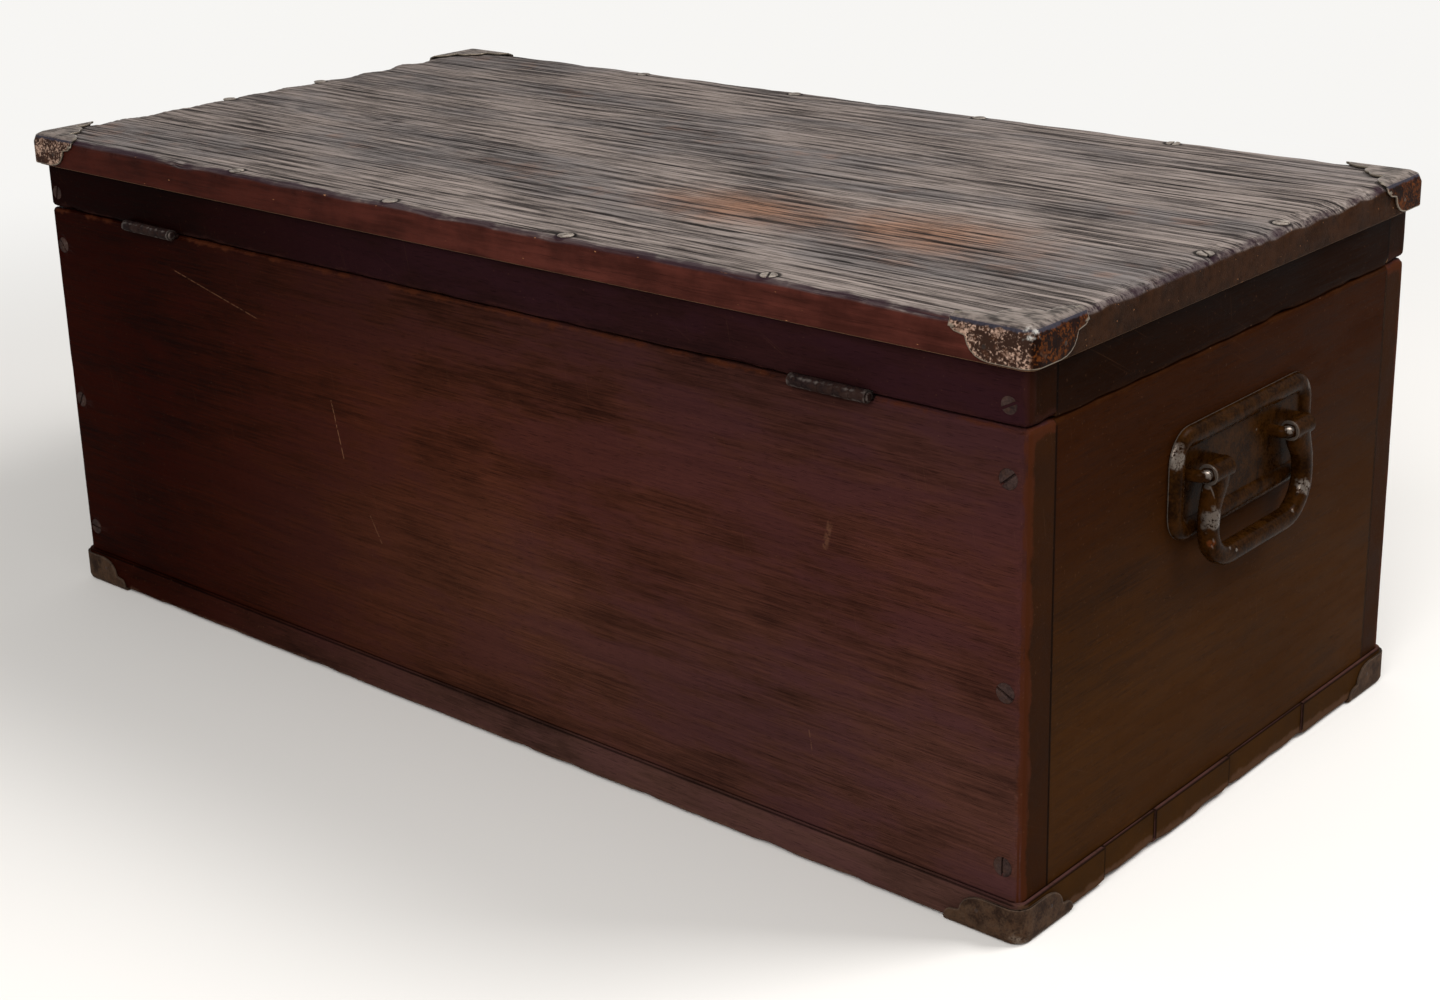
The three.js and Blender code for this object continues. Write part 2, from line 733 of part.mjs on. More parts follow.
function faceLeaf() {
  const at = ([along, across]) => [along * capReach, across * capReach];
  const swapped = ([along, across]) => at([across, along]);
  const crown = faceCrownShare * capReach;
  const shape = new THREE.Shape();
  shape.moveTo(-overrun, -overrun);
  shape.lineTo(capReach, -overrun);
  shape.lineTo(capReach, 0);
  shape.quadraticCurveTo(...at(faceTipShare), ...at(faceShoulderShare));
  shape.lineTo(...at(faceNotchShare));
  shape.quadraticCurveTo(...at(faceLobeShare), crown, crown);
  shape.quadraticCurveTo(...swapped(faceLobeShare), ...swapped(faceNotchShare));
  shape.lineTo(...swapped(faceShoulderShare));
  shape.quadraticCurveTo(...swapped(faceTipShare), 0, capReach);
  shape.lineTo(-overrun, capReach);
  return shape;
}

function sideLeaf() {
  const at = ([along, down]) => [along * capReach, down * capHeight];
  const shape = new THREE.Shape();
  shape.moveTo(-overrun, -overrun);
  shape.lineTo(capReach, -overrun);
  shape.lineTo(capReach, 0);
  shape.quadraticCurveTo(...at(sideTipShare), ...at(sideShoulderShare));
  shape.lineTo(...at(sideNotchShare));
  shape.quadraticCurveTo(...at(sideBulgeShare), ...at(sideFlatShare));
  shape.lineTo(-overrun, capHeight);
  return shape;
}

// One cap over a board's upper corner. The board's corner is at the origin, and the board lies
// towards +X, +Y and -Z with its edges rounded as given.
function cornerCap(cornerRadius, edgeRound) {
  const span = 2 * capReach;
  const slab = (grow) => {
    const size = span + 2 * grow;
    const geometry = slabGeometry(size, size, -span, grow, cornerRadius + grow, edgeRound + grow);
    geometry.translate(span / 2, span / 2, 0);
    return solidOf(geometry);
  };
  const zone = edgeRound + capOut;
  const flat = { bevelEnabled: false, curveSegments: outlineSteps };
  const face = new THREE.ExtrudeGeometry(faceLeaf(), { depth: zone + overrun, ...flat });
  face.translate(-capOut, -capOut, capOut - zone);
  const sideAlongX = new THREE.ExtrudeGeometry(sideLeaf(), { depth: zone + overrun, ...flat });
  sideAlongX.rotateX(-Math.PI / 2);
  const sideAlongY = sideAlongX.clone();
  sideAlongX.translate(-capOut, -capOut - overrun, capOut);
  sideAlongY.rotateZ(Math.PI / 2);
  sideAlongY.translate(zone - capOut, -capOut, capOut);
  return slab(capOut).subtract(slab(capSeat)).intersect(joined([face, sideAlongX, sideAlongY].map(solidOf)));
}

const topCap = cornerCap(topCornerRadius, topEdgeRound);
const floorCap = cornerCap(wallCornerRadius + floorProud, floorEdgeRound);
const corners = [['front_left', -1, -1], ['front_right', 1, -1], ['back_right', 1, 1], ['back_left', -1, 1]];
const diagonal = new THREE.Vector3(1, 1, 0).normalize();
corners.forEach(([corner, x, y], index) => {
  const turn = index * Math.PI / 2;
  const top = addPlace(x * topLength / 2, y * topDepth / 2, topTop, turn);
  addPiece(top, `top_cap_${corner}`, topCap, capSteel);
  const foot = addPlace(x * floorLength / 2, y * floorDepth / 2, capOut, turn);
  addPiece(foot, `foot_cap_${corner}`, floorCap, capSteel).rotateOnAxis(diagonal, Math.PI);
});

// Till: a tray that slides along two runners
const runnerReach = innerX - runnerEndGap;
const runnerLevel = wallBottom + runnerTop;
for (const [face, side] of faces) {
  const wallSide = side * (innerY - glueLine);
  const tillSide = wallSide - side * runnerThick;
  const low = Math.min(wallSide, tillSide);
  const high = Math.max(wallSide, tillSide);
  const runner = block(-runnerReach, runnerReach, low, high, runnerLevel - runnerHeight, runnerLevel);
  addPiece(chest, `till_runner_${face}`, runner, bareWood);
}
const tillY = innerY - tillSideGap;
const tillStart = tillEndGap - innerX;
const tillEnd = tillStart + tillLength;
const tillLow = runnerLevel + tillRest;
const tillSideLow = tillLow + tillFloorThick + glueLine;
const tillHigh = tillSideLow + tillHeight;
const tillFloor = block(tillStart, tillEnd, -tillY, tillY, tillLow, tillLow + tillFloorThick);
addPiece(chest, 'till_floor', tillFloor, bareWood);
const tillInner = tillY - tillSideThick;
addPiece(chest, 'till_back', block(tillStart, tillEnd, tillInner, tillY, tillSideLow, tillHigh), bareWood);
addPiece(chest, 'till_front', block(tillStart, tillEnd, -tillY, -tillInner, tillSideLow, tillHigh), bareWood);
const tillEndReach = tillInner - glueLine;
const tillEnds = { till_left_end: tillStart, till_right_end: tillEnd - tillSideThick };
for (const [name, x] of Object.entries(tillEnds)) {
  const board = block(x, x + tillSideThick, -tillEndReach, tillEndReach, tillSideLow, tillHigh);
  addPiece(chest, name, board, bareWood);
}

export default chest;
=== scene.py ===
"""The looks of a wooden tool chest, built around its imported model: worn boards, pressed corner caps,
slotted screws, butt hinges, drop handles, a link lock and a sliding till.

Sizes are in millimetres until a mesh is made. X runs along the chest, +Y is its back and +Z is up.
"""

import json
import logging
import math
from dataclasses import dataclass
from enum import Enum
from typing import Dict, Iterable, List, Optional, Sequence, Tuple, Union

import bmesh
import bpy
import numpy as np
from mathutils import Matrix, Vector


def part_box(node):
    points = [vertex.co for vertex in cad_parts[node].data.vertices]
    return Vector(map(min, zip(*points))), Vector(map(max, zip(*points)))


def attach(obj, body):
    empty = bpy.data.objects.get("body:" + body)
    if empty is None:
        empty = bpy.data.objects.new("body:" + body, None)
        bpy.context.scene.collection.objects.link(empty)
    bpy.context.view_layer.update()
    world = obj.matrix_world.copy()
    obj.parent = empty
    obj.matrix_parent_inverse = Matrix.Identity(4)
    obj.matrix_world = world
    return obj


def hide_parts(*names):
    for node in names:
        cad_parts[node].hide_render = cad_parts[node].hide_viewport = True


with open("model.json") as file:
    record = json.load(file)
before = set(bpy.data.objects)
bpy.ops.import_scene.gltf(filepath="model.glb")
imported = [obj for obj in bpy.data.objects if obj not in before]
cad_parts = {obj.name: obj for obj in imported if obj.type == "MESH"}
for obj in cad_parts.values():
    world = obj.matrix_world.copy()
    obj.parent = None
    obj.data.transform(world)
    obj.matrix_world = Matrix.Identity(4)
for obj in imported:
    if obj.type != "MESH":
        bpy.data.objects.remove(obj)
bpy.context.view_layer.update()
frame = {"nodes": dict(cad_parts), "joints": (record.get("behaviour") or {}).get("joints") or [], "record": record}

MM = 0.001
PER_METRE = 1000.0
WELD = 0.00001
CLOSE = (0.4, 0.9, 1.6, 2.5, 3.8, 5.6)
RIDGE = "ridge"
EDGE = "edge"
TOP_SCREWS = [
    *((x, 175.0) for x in (170.0, 42.0, -86.0, -214.0)), *((x, -175.0) for x in (186.0, 56.0, -85.0, -216.0)),
    (-352.0, 29.0), (-352.0, -43.0), (352.0, -35.0), (352.0, 40.0),
]
SIDES = {"back": 1.0, "front": -1.0}
UP = (0.0, 0.0, 1.0)
WHITE = (1.0, 1.0, 1.0)
LOG = logging.getLogger("chest")

Point = Tuple[float, float, float]
Colour = Tuple[float, float, float]
Term = Union[float, Point, "Socket"]
Piece = bpy.types.Object
Solid = Tuple[np.ndarray, Iterable[Sequence[int]]]


def floats(values: Iterable[float]) -> Point:
    """Turns numbers of any kind into a tuple of plain floats."""
    return tuple(float(value) for value in values)


class Socket:
    """A node's output. Arithmetic on it adds Math nodes, or Vector Math nodes where a vector takes part."""

    def __init__(self, shader: "Shader", output: bpy.types.NodeSocket) -> None:
        """Wraps one output of the shader's tree."""
        self.shader = shader
        self.output = output

    def reckon(self, operation: str, first: Term, second: Term = 0.0, output: int = 0) -> "Socket":
        """Adds the node for one operation.

        Args:
            operation: the operation's name in Blender.
            first: its first term.
            second: its second term.
            output: which output of the node is wanted.

        Returns:
            The result.
        """
        vector = any(
            isinstance(term, tuple) or (isinstance(term, Socket) and term.output.type == "VECTOR")
            for term in (first, second)
        )
        kind = "ShaderNodeVectorMath" if vector else "ShaderNodeMath"
        return self.shader.node(kind, {"operation": operation}, {0: first, 1: second}, output)

    def __add__(self, other: Term) -> "Socket":
        """self + other"""
        return self.reckon("ADD", self, other)

    def __radd__(self, other: Term) -> "Socket":
        """other + self"""
        return self.reckon("ADD", other, self)

    def __sub__(self, other: Term) -> "Socket":
        """self - other"""
        return self.reckon("SUBTRACT", self, other)

    def __rsub__(self, other: Term) -> "Socket":
        """other - self"""
        return self.reckon("SUBTRACT", other, self)

    def __mul__(self, other: Term) -> "Socket":
        """self * other"""
        return self.reckon("MULTIPLY", self, other)

    def __rmul__(self, other: Term) -> "Socket":
        """other * self"""
        return self.reckon("MULTIPLY", other, self)

    def __truediv__(self, other: Term) -> "Socket":
        """self / other"""
        return self.reckon("DIVIDE", self, other)

    def __rtruediv__(self, other: Term) -> "Socket":
        """other / self"""
        return self.reckon("DIVIDE", other, self)

    def __abs__(self) -> "Socket":
        """The size of each number, without its sign."""
        return self.reckon("ABSOLUTE", self)

    def least(self, other: Term) -> "Socket":
        """The smaller of two values."""
        return self.reckon("MINIMUM", self, other)

    def most(self, other: Term) -> "Socket":
        """The larger of two values."""
        return self.reckon("MAXIMUM", self, other)

    def fraction(self) -> "Socket":
        """What is left above the whole number."""
        return self.reckon("FRACT", self)

    def dot(self, other: Term) -> "Socket":
        """The dot product with another vector."""
        return self.reckon("DOT_PRODUCT", self, other, 1)

    def length(self) -> "Socket":
        """The length of a vector."""
        return self.reckon("LENGTH", self, (0.0, 0.0, 0.0), 1)

    def parts(self) -> Tuple["Socket", "Socket", "Socket"]:
        """The X, Y and Z of a vector."""
        split = self.shader.node("ShaderNodeSeparateXYZ", None, {0: self}).output.node
        return tuple(Socket(self.shader, output) for output in split.outputs)


class Shader:
    """The node tree of a material or a world while it is built. Places and heights are in millimetres."""

    def __init__(self, owner: Union[bpy.types.Material, bpy.types.World]) -> None:
        """Empties the owner's tree and adds its output.

        Args:
            owner: the material or the world.
        """
        owner.use_nodes = True
        self.owner = owner
        self.tree = owner.node_tree
        self.tree.nodes.clear()
        world = isinstance(owner, bpy.types.World)
        kind = "ShaderNodeOutputWorld" if world else "ShaderNodeOutputMaterial"
        self.exit = self.tree.nodes.new(kind).inputs["Surface"]

    def node(
        self,
        kind: str,
        settings: Optional[Dict[str, object]] = None,
        inputs: Optional[Dict[Union[int, str], Term]] = None,
        output: Union[int, str] = 0,
    ) -> Socket:
        """Adds a node.

        Args:
            kind: its type.
            settings: its properties, which are set first.
            inputs: values or links of its sockets, by index, identifier or name.
            output: the output that is wanted.

        Returns:
            That output.
        """
        made = self.tree.nodes.new(kind)
        for key, value in (settings or {}).items():
            setattr(made, key, value)
        for key, value in (inputs or {}).items():
            self._feed(made, key, value)
        return Socket(self, made.outputs[output])

    def _feed(self, made: bpy.types.Node, key: Union[int, str], value: Term) -> None:
        """Sets or links one input of a node.

        Args:
            made: the node.
            key: the input's index, identifier or name.
            value: its value, or the output to link.
        """
        if isinstance(key, int):
            socket = made.inputs[key]
        else:
            socket = next(s for s in made.inputs if key in (s.identifier, s.name))
        if isinstance(value, Socket):
            self.tree.links.new(value.output, socket)
        elif socket.type in ("VECTOR", "RGBA"):
            numbers = value if isinstance(value, tuple) else (value,) * 3
            socket.default_value = (*numbers, 1.0) if socket.type == "RGBA" else numbers
        else:
            socket.default_value = value

    def place(self) -> Socket:
        """The place on the piece, in the chest's own frame at rest."""
        return self.node("ShaderNodeTexCoord", output="Object") * PER_METRE

    def facing(self) -> Socket:
        """The direction that the surface faces, in the chest's own frame at rest."""
        return self.node("ShaderNodeTexCoord", output="Normal")

    def vector(self, x: Term, y: Term, z: Term) -> Socket:
        """A vector of three values."""
        return self.node("ShaderNodeCombineXYZ", None, {0: x, 1: y, 2: z})

    def noise(self, place: Socket, detail: float = 2.0, roughness: float = 0.5) -> Socket:
        """Noise from 0 to 1 that changes over about one unit of the place."""
        inputs = {"Vector": place, "Scale": 1.0, "Detail": detail, "Roughness": roughness}
        return self.node("ShaderNodeTexNoise", None, inputs)

    def rise(self, value: Term, low: float, high: float) -> Socket:
        """Turns a value smoothly from 0 at low to 1 at high, where high may be the smaller."""
        inputs = {"Value": value, "From Min": low, "From Max": high}
        return self.node("ShaderNodeMapRange", {"interpolation_type": "SMOOTHSTEP"}, inputs)

    def mix(self, first: Term, second: Term, share: Term) -> Socket:
        """Blends two colours."""
        inputs = {"Factor_Float": share, "A_Color": first, "B_Color": second}
        return self.node("ShaderNodeMix", {"data_type": "RGBA"}, inputs, 2)

    def tint(self, colour: Term, by: Term) -> Socket:
        """Multiplies a colour by a colour or a value."""
        inputs = {"Factor_Float": 1.0, "A_Color": colour, "B_Color": by}
        return self.node("ShaderNodeMix", {"data_type": "RGBA", "blend_type": "MULTIPLY"}, inputs, 2)

    def to_arris(self, place: Socket, box: np.ndarray) -> Socket:
        """How far a place on a box's face is from the nearest edge of the box.

        Args:
            place: the place.
            box: the box's lowest and highest corners.

        Returns:
            The distance, which is the middle one of the distances to the three pairs of faces.
        """
        half = floats((box[1] - box[0]) / 2)
        x, y, z = (half - abs(place - floats(box.mean(axis=0)))).parts()
        return x.least(y).most(x.most(y).least(z))

    def to_line(self, place: Socket, start: Point, end: Point) -> Socket:
        """How far a place is from a straight line.

        Args:
            place: the place.
            start: where the line starts.
            end: where it ends.

        Returns:
            The distance.
        """
        run = Vector(end) - Vector(start)
        offset = place - start
        share = self.node("ShaderNodeClamp", None, {"Value": offset.dot(floats(run)) / run.length_squared})
        return (offset - share * floats(run)).length()

    def hairs(self, place: Socket, heading: Point, side: Point, length: float, width: float) -> Socket:
        """Sparse hairline scratches in one direction, in patches.

        Args:
            place: the place on the surface.
            heading: unit vector along the scratches.
            side: unit vector across them, in the surface.
            length: about how long they are.
            width: about how wide they are.

        Returns:
            1 on a scratch and 0 beside it.
        """
        lines = self.noise(self.vector(place.dot(heading) / length, place.dot(side) / width, 0.0), 1.0)
        patches = self.noise(place / (length * 1.7), 2.0)
        return self.rise(lines, 0.7, 0.76) * self.rise(patches, 0.46, 0.62)

    def surface(
        self,
        colour: Term,
        roughness: Term,
        height: Optional[Socket] = None,
        metallic: Term = 0.0,
        specular: float = 0.5,
    ) -> bpy.types.Material:
        """Closes the material with a surface.

        Args:
            colour: base colour.
            roughness: roughness.
            height: relief in millimetres.
            metallic: share that is bare metal.
            specular: the same all over the surface.

        Returns:
            The finished material.
        """
        inputs = {"Base Color": colour, "Roughness": roughness, "Metallic": metallic}
        inputs["Specular IOR Level"] = specular
        if height is not None:
            inputs["Normal"] = self.node("ShaderNodeBump", None, {"Distance": MM, "Height": height})
        self.tree.links.new(self.node("ShaderNodeBsdfPrincipled", None, inputs).output, self.exit)
        return self.owner


class Grain(Enum):
    """The axis that a board's grain follows."""

    ALONG = 0
    DEEP = 1

    def lengths(self, along: float, across: float) -> Point:
        """One length along the grain and another across it, by axis."""
        return floats(along if axis == self.value else across for axis in range(3))

    def across(self) -> Point:
        """1 on the axes across the grain and 0 along it."""
        return self.lengths(0.0, 1.0)


class End(Enum):
    """An end of the chest: the sign of its side of X."""

    LEFT = -1
    RIGHT = 1

    @property
    def word(self) -> str:
        """The end's word in the names of its pieces."""
        return self.name.lower()


@dataclass(frozen=True)
class Lie:
    """How a board lies.

    Its open box reaches past each of its joints, so that only its open arrises wear. It is bare on one
    side, and where half sizes in X and Y are given, only between the walls.
    """

    box: np.ndarray
    open_box: np.ndarray
    grain: Grain
    bare_side: Optional[Point] = None
    bare_half: Optional[Tuple[float, float]] = None
    pith_shares: Tuple[float, float] = (2.6, 0.1)

    def pith(self) -> Point:
        """Finds the middle of the tree that the board was sawn from.

        Returns:
            A place on it, set off from the board's own middle.
        """
        size = self.box[1] - self.box[0]
        middle = self.box.mean(axis=0)
        cross = [axis for axis in range(3) if axis != self.grain.value]
        thick = min(cross, key=lambda axis: size[axis])
        wide = max(cross, key=lambda axis: size[axis])
        middle[thick] -= self.pith_shares[0] * size[thick]
        middle[wide] += self.pith_shares[1] * size[wide]
        return floats(middle)


@dataclass(frozen=True)
class Mark:
    """A scratch or smear in a finish, from one point to another on the chest."""

    start: Point
    end: Point
    width: float = 0.6
    strength: float = 0.8


@dataclass(frozen=True)
class Spot:
    """A round place where a finish is rubbed, or has a colour of its own."""

    middle: Point
    reach: float
    strength: float = 1.0
    colour: Optional[Colour] = None


@dataclass(frozen=True)
class Fade:
    """A slow change of a finish from none to its whole tint, between two places along a direction."""

    way: Point
    low: float
    high: float
    tint: Colour


@dataclass(frozen=True)
class Timber:
    """Stained and worn wood, bare on the side that faces into the chest. Its fades, some of them painted shade,
    change its tint slowly across the chest. Colours are linear.
    """

    name: str
    dark: Colour
    light: Colour
    cloud: Colour
    worn: Colour
    chip: Colour = (0.16, 0.075, 0.04)
    end_grain: Colour = (0.034, 0.015, 0.007)
    bare_dark: Colour = (0.13, 0.07, 0.035)
    bare_light: Colour = (0.30, 0.18, 0.095)
    fades: Tuple[Fade, ...] = ()
    fibre_share: float = 0.2
    even: float = 0.2
    cloud_share: float = 0.6
    ring: float = 8.5
    ring_depth: float = 0.08
    wander: float = 34.0
    fade_wander: float = 90.0
    wear_reach: float = 2.6
    wear_share: float = 0.7
    torn_wander: float = 16.0
    joint_shade: float = 0.7
    polished: float = 0.3
    dull: float = 0.55
    specular: float = 0.006
    relief: float = 0.09
    slant: float = 0.5
    hair_share: float = 0.1
    speck_share: float = 0.12

    def dress(self, piece: Piece, lie: Lie, marks: Sequence[Mark] = ()) -> None:
        """Gives a board its finish.

        Args:
            piece: the board.
            lie: how it lies.
            marks: its own scratches.
        """
        shader = Shader(bpy.data.materials.new(f"{piece.name}_finish"))
        place = shader.place()
        lengths = lie.grain.lengths
        wander = (shader.noise(place / lengths(340.0, 85.0), 2.0) - 0.5) * self.wander
        radius = ((place - lie.pith()) * lie.grain.across()).length() + wander
        late = shader.rise((radius / self.ring).fraction(), 0.4, 0.98)
        fibre = shader.noise(place / lengths(36.0, 0.8), 4.0, 0.65)
        pores = shader.rise(shader.noise(place / lengths(8.0, 0.32), 1.0), 0.6, 0.72)
        mottle = shader.noise(place / lengths(80.0, 24.0), 5.0, 0.66)
        clouds = shader.rise(mottle, 0.42, 0.62)
        broad = shader.noise(place / 190.0, 2.0)
        ragged = shader.noise(place / 12.0, 4.0, 0.65)

        rest = (1.0 - self.fibre_share) / 2
        shade = fibre * self.fibre_share + (broad + mottle) * rest
        colour = shader.mix(self.dark, self.light, shader.rise(shade, 0.5 - self.even, 0.5 + self.even))
        colour = shader.mix(colour, self.cloud, clouds * self.cloud_share)
        colour = shader.tint(colour, 1.0 - late * self.ring_depth - pores * 0.4)
        # Slow tints across the chest, some of them painted shade.
        for fade in self.fades:
            reach = shader.rise(place.dot(fade.way) + (broad - 0.5) * self.fade_wander, fade.low, fade.high)
            colour = shader.tint(colour, shader.mix(WHITE, fade.tint, reach))

        cut = shader.rise(abs(shader.facing().dot(lengths(1.0, 0.0))), 0.6, 0.9)
        colour = shader.mix(colour, shader.tint(self.end_grain, 0.5 + mottle), cut)
        gap = shader.to_arris(place, lie.open_box)
        reach = gap + (ragged - 0.5) * (self.wear_reach * 4.0) - cut * 4.0
        worn = shader.rise(reach, self.wear_reach, 0.0) * self.wear_share
        torn = (shader.noise(place / 4.2, 3.0, 0.7) - 0.5) * self.torn_wander
        torn = shader.rise(gap + torn, -2.0, -3.4)
        colour = shader.mix(colour, self.worn, worn)
        joint = shader.rise(shader.to_arris(place, lie.box), 1.1, 0.4) * shader.rise(gap, 2.0, 4.0)
        colour = shader.tint(colour, 1.0 - joint * self.joint_shade)
        colour = shader.mix(colour, self.chip, torn)

        scratched = self._scratches(shader, place, marks)
        colour = shader.mix(colour, self.chip, scratched)
        height = (fibre - 0.5) * self.relief - pores * 0.05 - late * 0.02 - scratched * 0.08 - torn * 0.3
        roughness = shader.rise(mottle * 0.6 + fibre * 0.4, 0.35, 0.65)
        roughness = roughness * (self.dull - self.polished) + self.polished
        roughness = roughness + worn * 0.1 + scratched * 0.2

        if lie.bare_side is not None:
            bare = shader.rise(shader.facing().dot(lie.bare_side), 0.5, 0.9)
            if lie.bare_half is not None:
                x, y, _ = (floats((*lie.bare_half, 0.0)) - abs(place)).parts()
                bare = bare * shader.rise(x.least(y), -1.0, 0.0)
            plain = shader.mix(self.bare_dark, self.bare_light, shader.rise(shade, 0.3, 0.7))
            plain = shader.tint(plain, 1.0 - late * self.ring_depth - pores * 0.3 - clouds * 0.25)
            colour = shader.mix(colour, plain, bare)
            roughness = roughness + bare * 0.15
        give(piece, shader.surface(colour, roughness, height, specular=self.specular))

    def _scratches(self, shader: Shader, place: Socket, marks: Sequence[Mark]) -> Socket:
        """Lays out hairlines in two directions, pale specks and the board's own marks.

        Args:
            shader: the material's shader.
            place: the place on the board.
            marks: the board's own marks.

        Returns:
            1 on a mark, less on a hairline or a speck, and 0 beside them.
        """
        flat, rising = math.cos(self.slant), math.sin(self.slant)
        fine = shader.hairs(place, (flat, flat, rising), (-rising, -rising, flat), 60.0, 0.5)
        steep = shader.hairs(place, (0.18, 0.18, 0.98), (0.98, 0.98, -0.18), 34.0, 0.6)
        specks = shader.rise(shader.noise(place / 1.3, 0.0), 0.79, 0.84)
        share = (fine + steep) * self.hair_share + specks * self.speck_share
        broken = shader.rise(shader.noise(place / 2.4, 2.0), 0.36, 0.52)
        for mark in marks:
            line = shader.rise(shader.to_line(place, mark.start, mark.end), mark.width, mark.width * 0.3)
            share = share.most(line * broken * mark.strength)
        return share.least(1.0)


@dataclass(frozen=True)
class WeatheredTop:
    """Wood that has lost its stain and stands in ridges on top, with stained edges."""

    ridge: Colour = (0.285, 0.235, 0.208)
    groove: Colour = (0.018, 0.014, 0.013)
    grey: Colour = (0.125, 0.118, 0.12)
    warm: Colour = (0.3, 0.15, 0.088)
    border: Colour = (0.024, 0.011, 0.016)
    back_edge: Colour = (0.05, 0.013, 0.009)
    end_edge: Colour = (0.02, 0.008, 0.0035)
    bare: Colour = (0.24, 0.14, 0.075)
    chip: Colour = (0.42, 0.2, 0.09)
    # Tint of the stained edges at the +X end: partly painted shade, partly darker stain.
    far_tint: Colour = (0.6, 0.5, 0.45)
    border_share: float = 0.85
    screw_gap: float = 5.0
    screw_shade: float = 0.85
    specular: float = 0.015
    spots: Tuple[Spot, ...] = ()

    def dress(self, piece: Piece, lie: Lie) -> None:
        """Gives the top board its finish.

        Args:
            piece: the board, whose mesh carries the height of its ridges.
            lie: how it lies.
        """
        shader = Shader(bpy.data.materials.new(f"{piece.name}_finish"))
        place = shader.place()
        lengths = lie.grain.lengths
        _, y, z = shader.facing().parts()
        ridge = shader.node("ShaderNodeAttribute", {"attribute_name": RIDGE}, output="Fac")
        fibre = shader.noise(place / lengths(60.0, 1.2), 5.0, 0.85)
        pores = shader.rise(shader.noise(place / lengths(26.0, 0.9), 2.0), 0.57, 0.64)
        cracks = shader.rise(shader.noise(place / lengths(190.0, 4.0), 3.0, 0.6), 0.62, 0.65)
        patches = shader.noise(place / lengths(150.0, 60.0), 4.0, 0.6)
        mottle = shader.noise(place / 22.0, 4.0, 0.6)

        grain = shader.rise(ridge * 0.3 + fibre * 0.7, 0.38, 0.6)
        worn = shader.mix(self.ridge, self.grey, shader.rise(patches, 0.42, 0.62) * 0.6)
        warm = shader.rise(mottle * 0.4 + patches * 0.6, 0.56, 0.66) * 0.3
        for spot in self.spots:
            near = (place - spot.middle) / lengths(1.9, 1.0)
            near = shader.rise(near.length() + (mottle - 0.5) * spot.reach, spot.reach, 0.0)
            warm = warm.most(near * spot.strength)
        colour = shader.mix(self.groove, shader.mix(worn, self.warm, warm), grain)
        colour = shader.tint(colour, (1.0 - pores * 0.6) * (1.0 - cracks * 0.8))
        level = float(lie.box[1][2])
        for x, y_place in TOP_SCREWS:
            away = (place - (x, y_place, level)).length() + (mottle - 0.5) * 2.5
            shade = shader.rise(away, self.screw_gap + 1.6, self.screw_gap) * self.screw_shade
            colour = shader.tint(colour, 1.0 - shade)

        gap = shader.to_arris(place, lie.open_box)
        ragged = gap + (mottle - 0.5) * 16.0
        border = shader.rise(ragged, 6.5, 2.0) * shader.rise(y, -0.6, 0.2)
        colour = shader.mix(colour, self.border, border * self.border_share)
        height = (fibre - 0.5) * 0.22 - pores * 0.12 - cracks * 0.3

        upper = shader.rise(z, 0.45, 0.8)
        # Partly painted shade: the stained edges darken towards +X.
        far = shader.mix(WHITE, self.far_tint, shader.rise(place.parts()[0], -150.0, 250.0))
        edge = shader.mix(self.end_edge, shader.tint(self.back_edge, far), shader.rise(abs(y), 0.4, 0.8))
        streak = shader.noise(place / lengths(60.0, 5.0), 3.0, 0.6)
        streak = shader.rise(streak * 0.5 + mottle * 0.5, 0.36, 0.64)
        edge = shader.tint(edge, 0.5 + fibre * 0.3 + streak * 0.75)
        torn = shader.rise(shader.noise(place / lengths(6.0, 2.0), 2.0, 0.6), 0.72, 0.75)
        edge = shader.mix(edge, self.chip, torn)
        colour = shader.mix(edge, colour, upper)
        under = shader.rise(z, -0.5, -0.9)
        colour = shader.mix(colour, shader.tint(self.bare, 0.6 + fibre * 0.6), under)
        roughness = 0.5 + upper * 0.26 - border * 0.2 + (mottle - 0.5) * 0.3
        give(piece, shader.surface(colour, roughness, height, specular=self.specular))


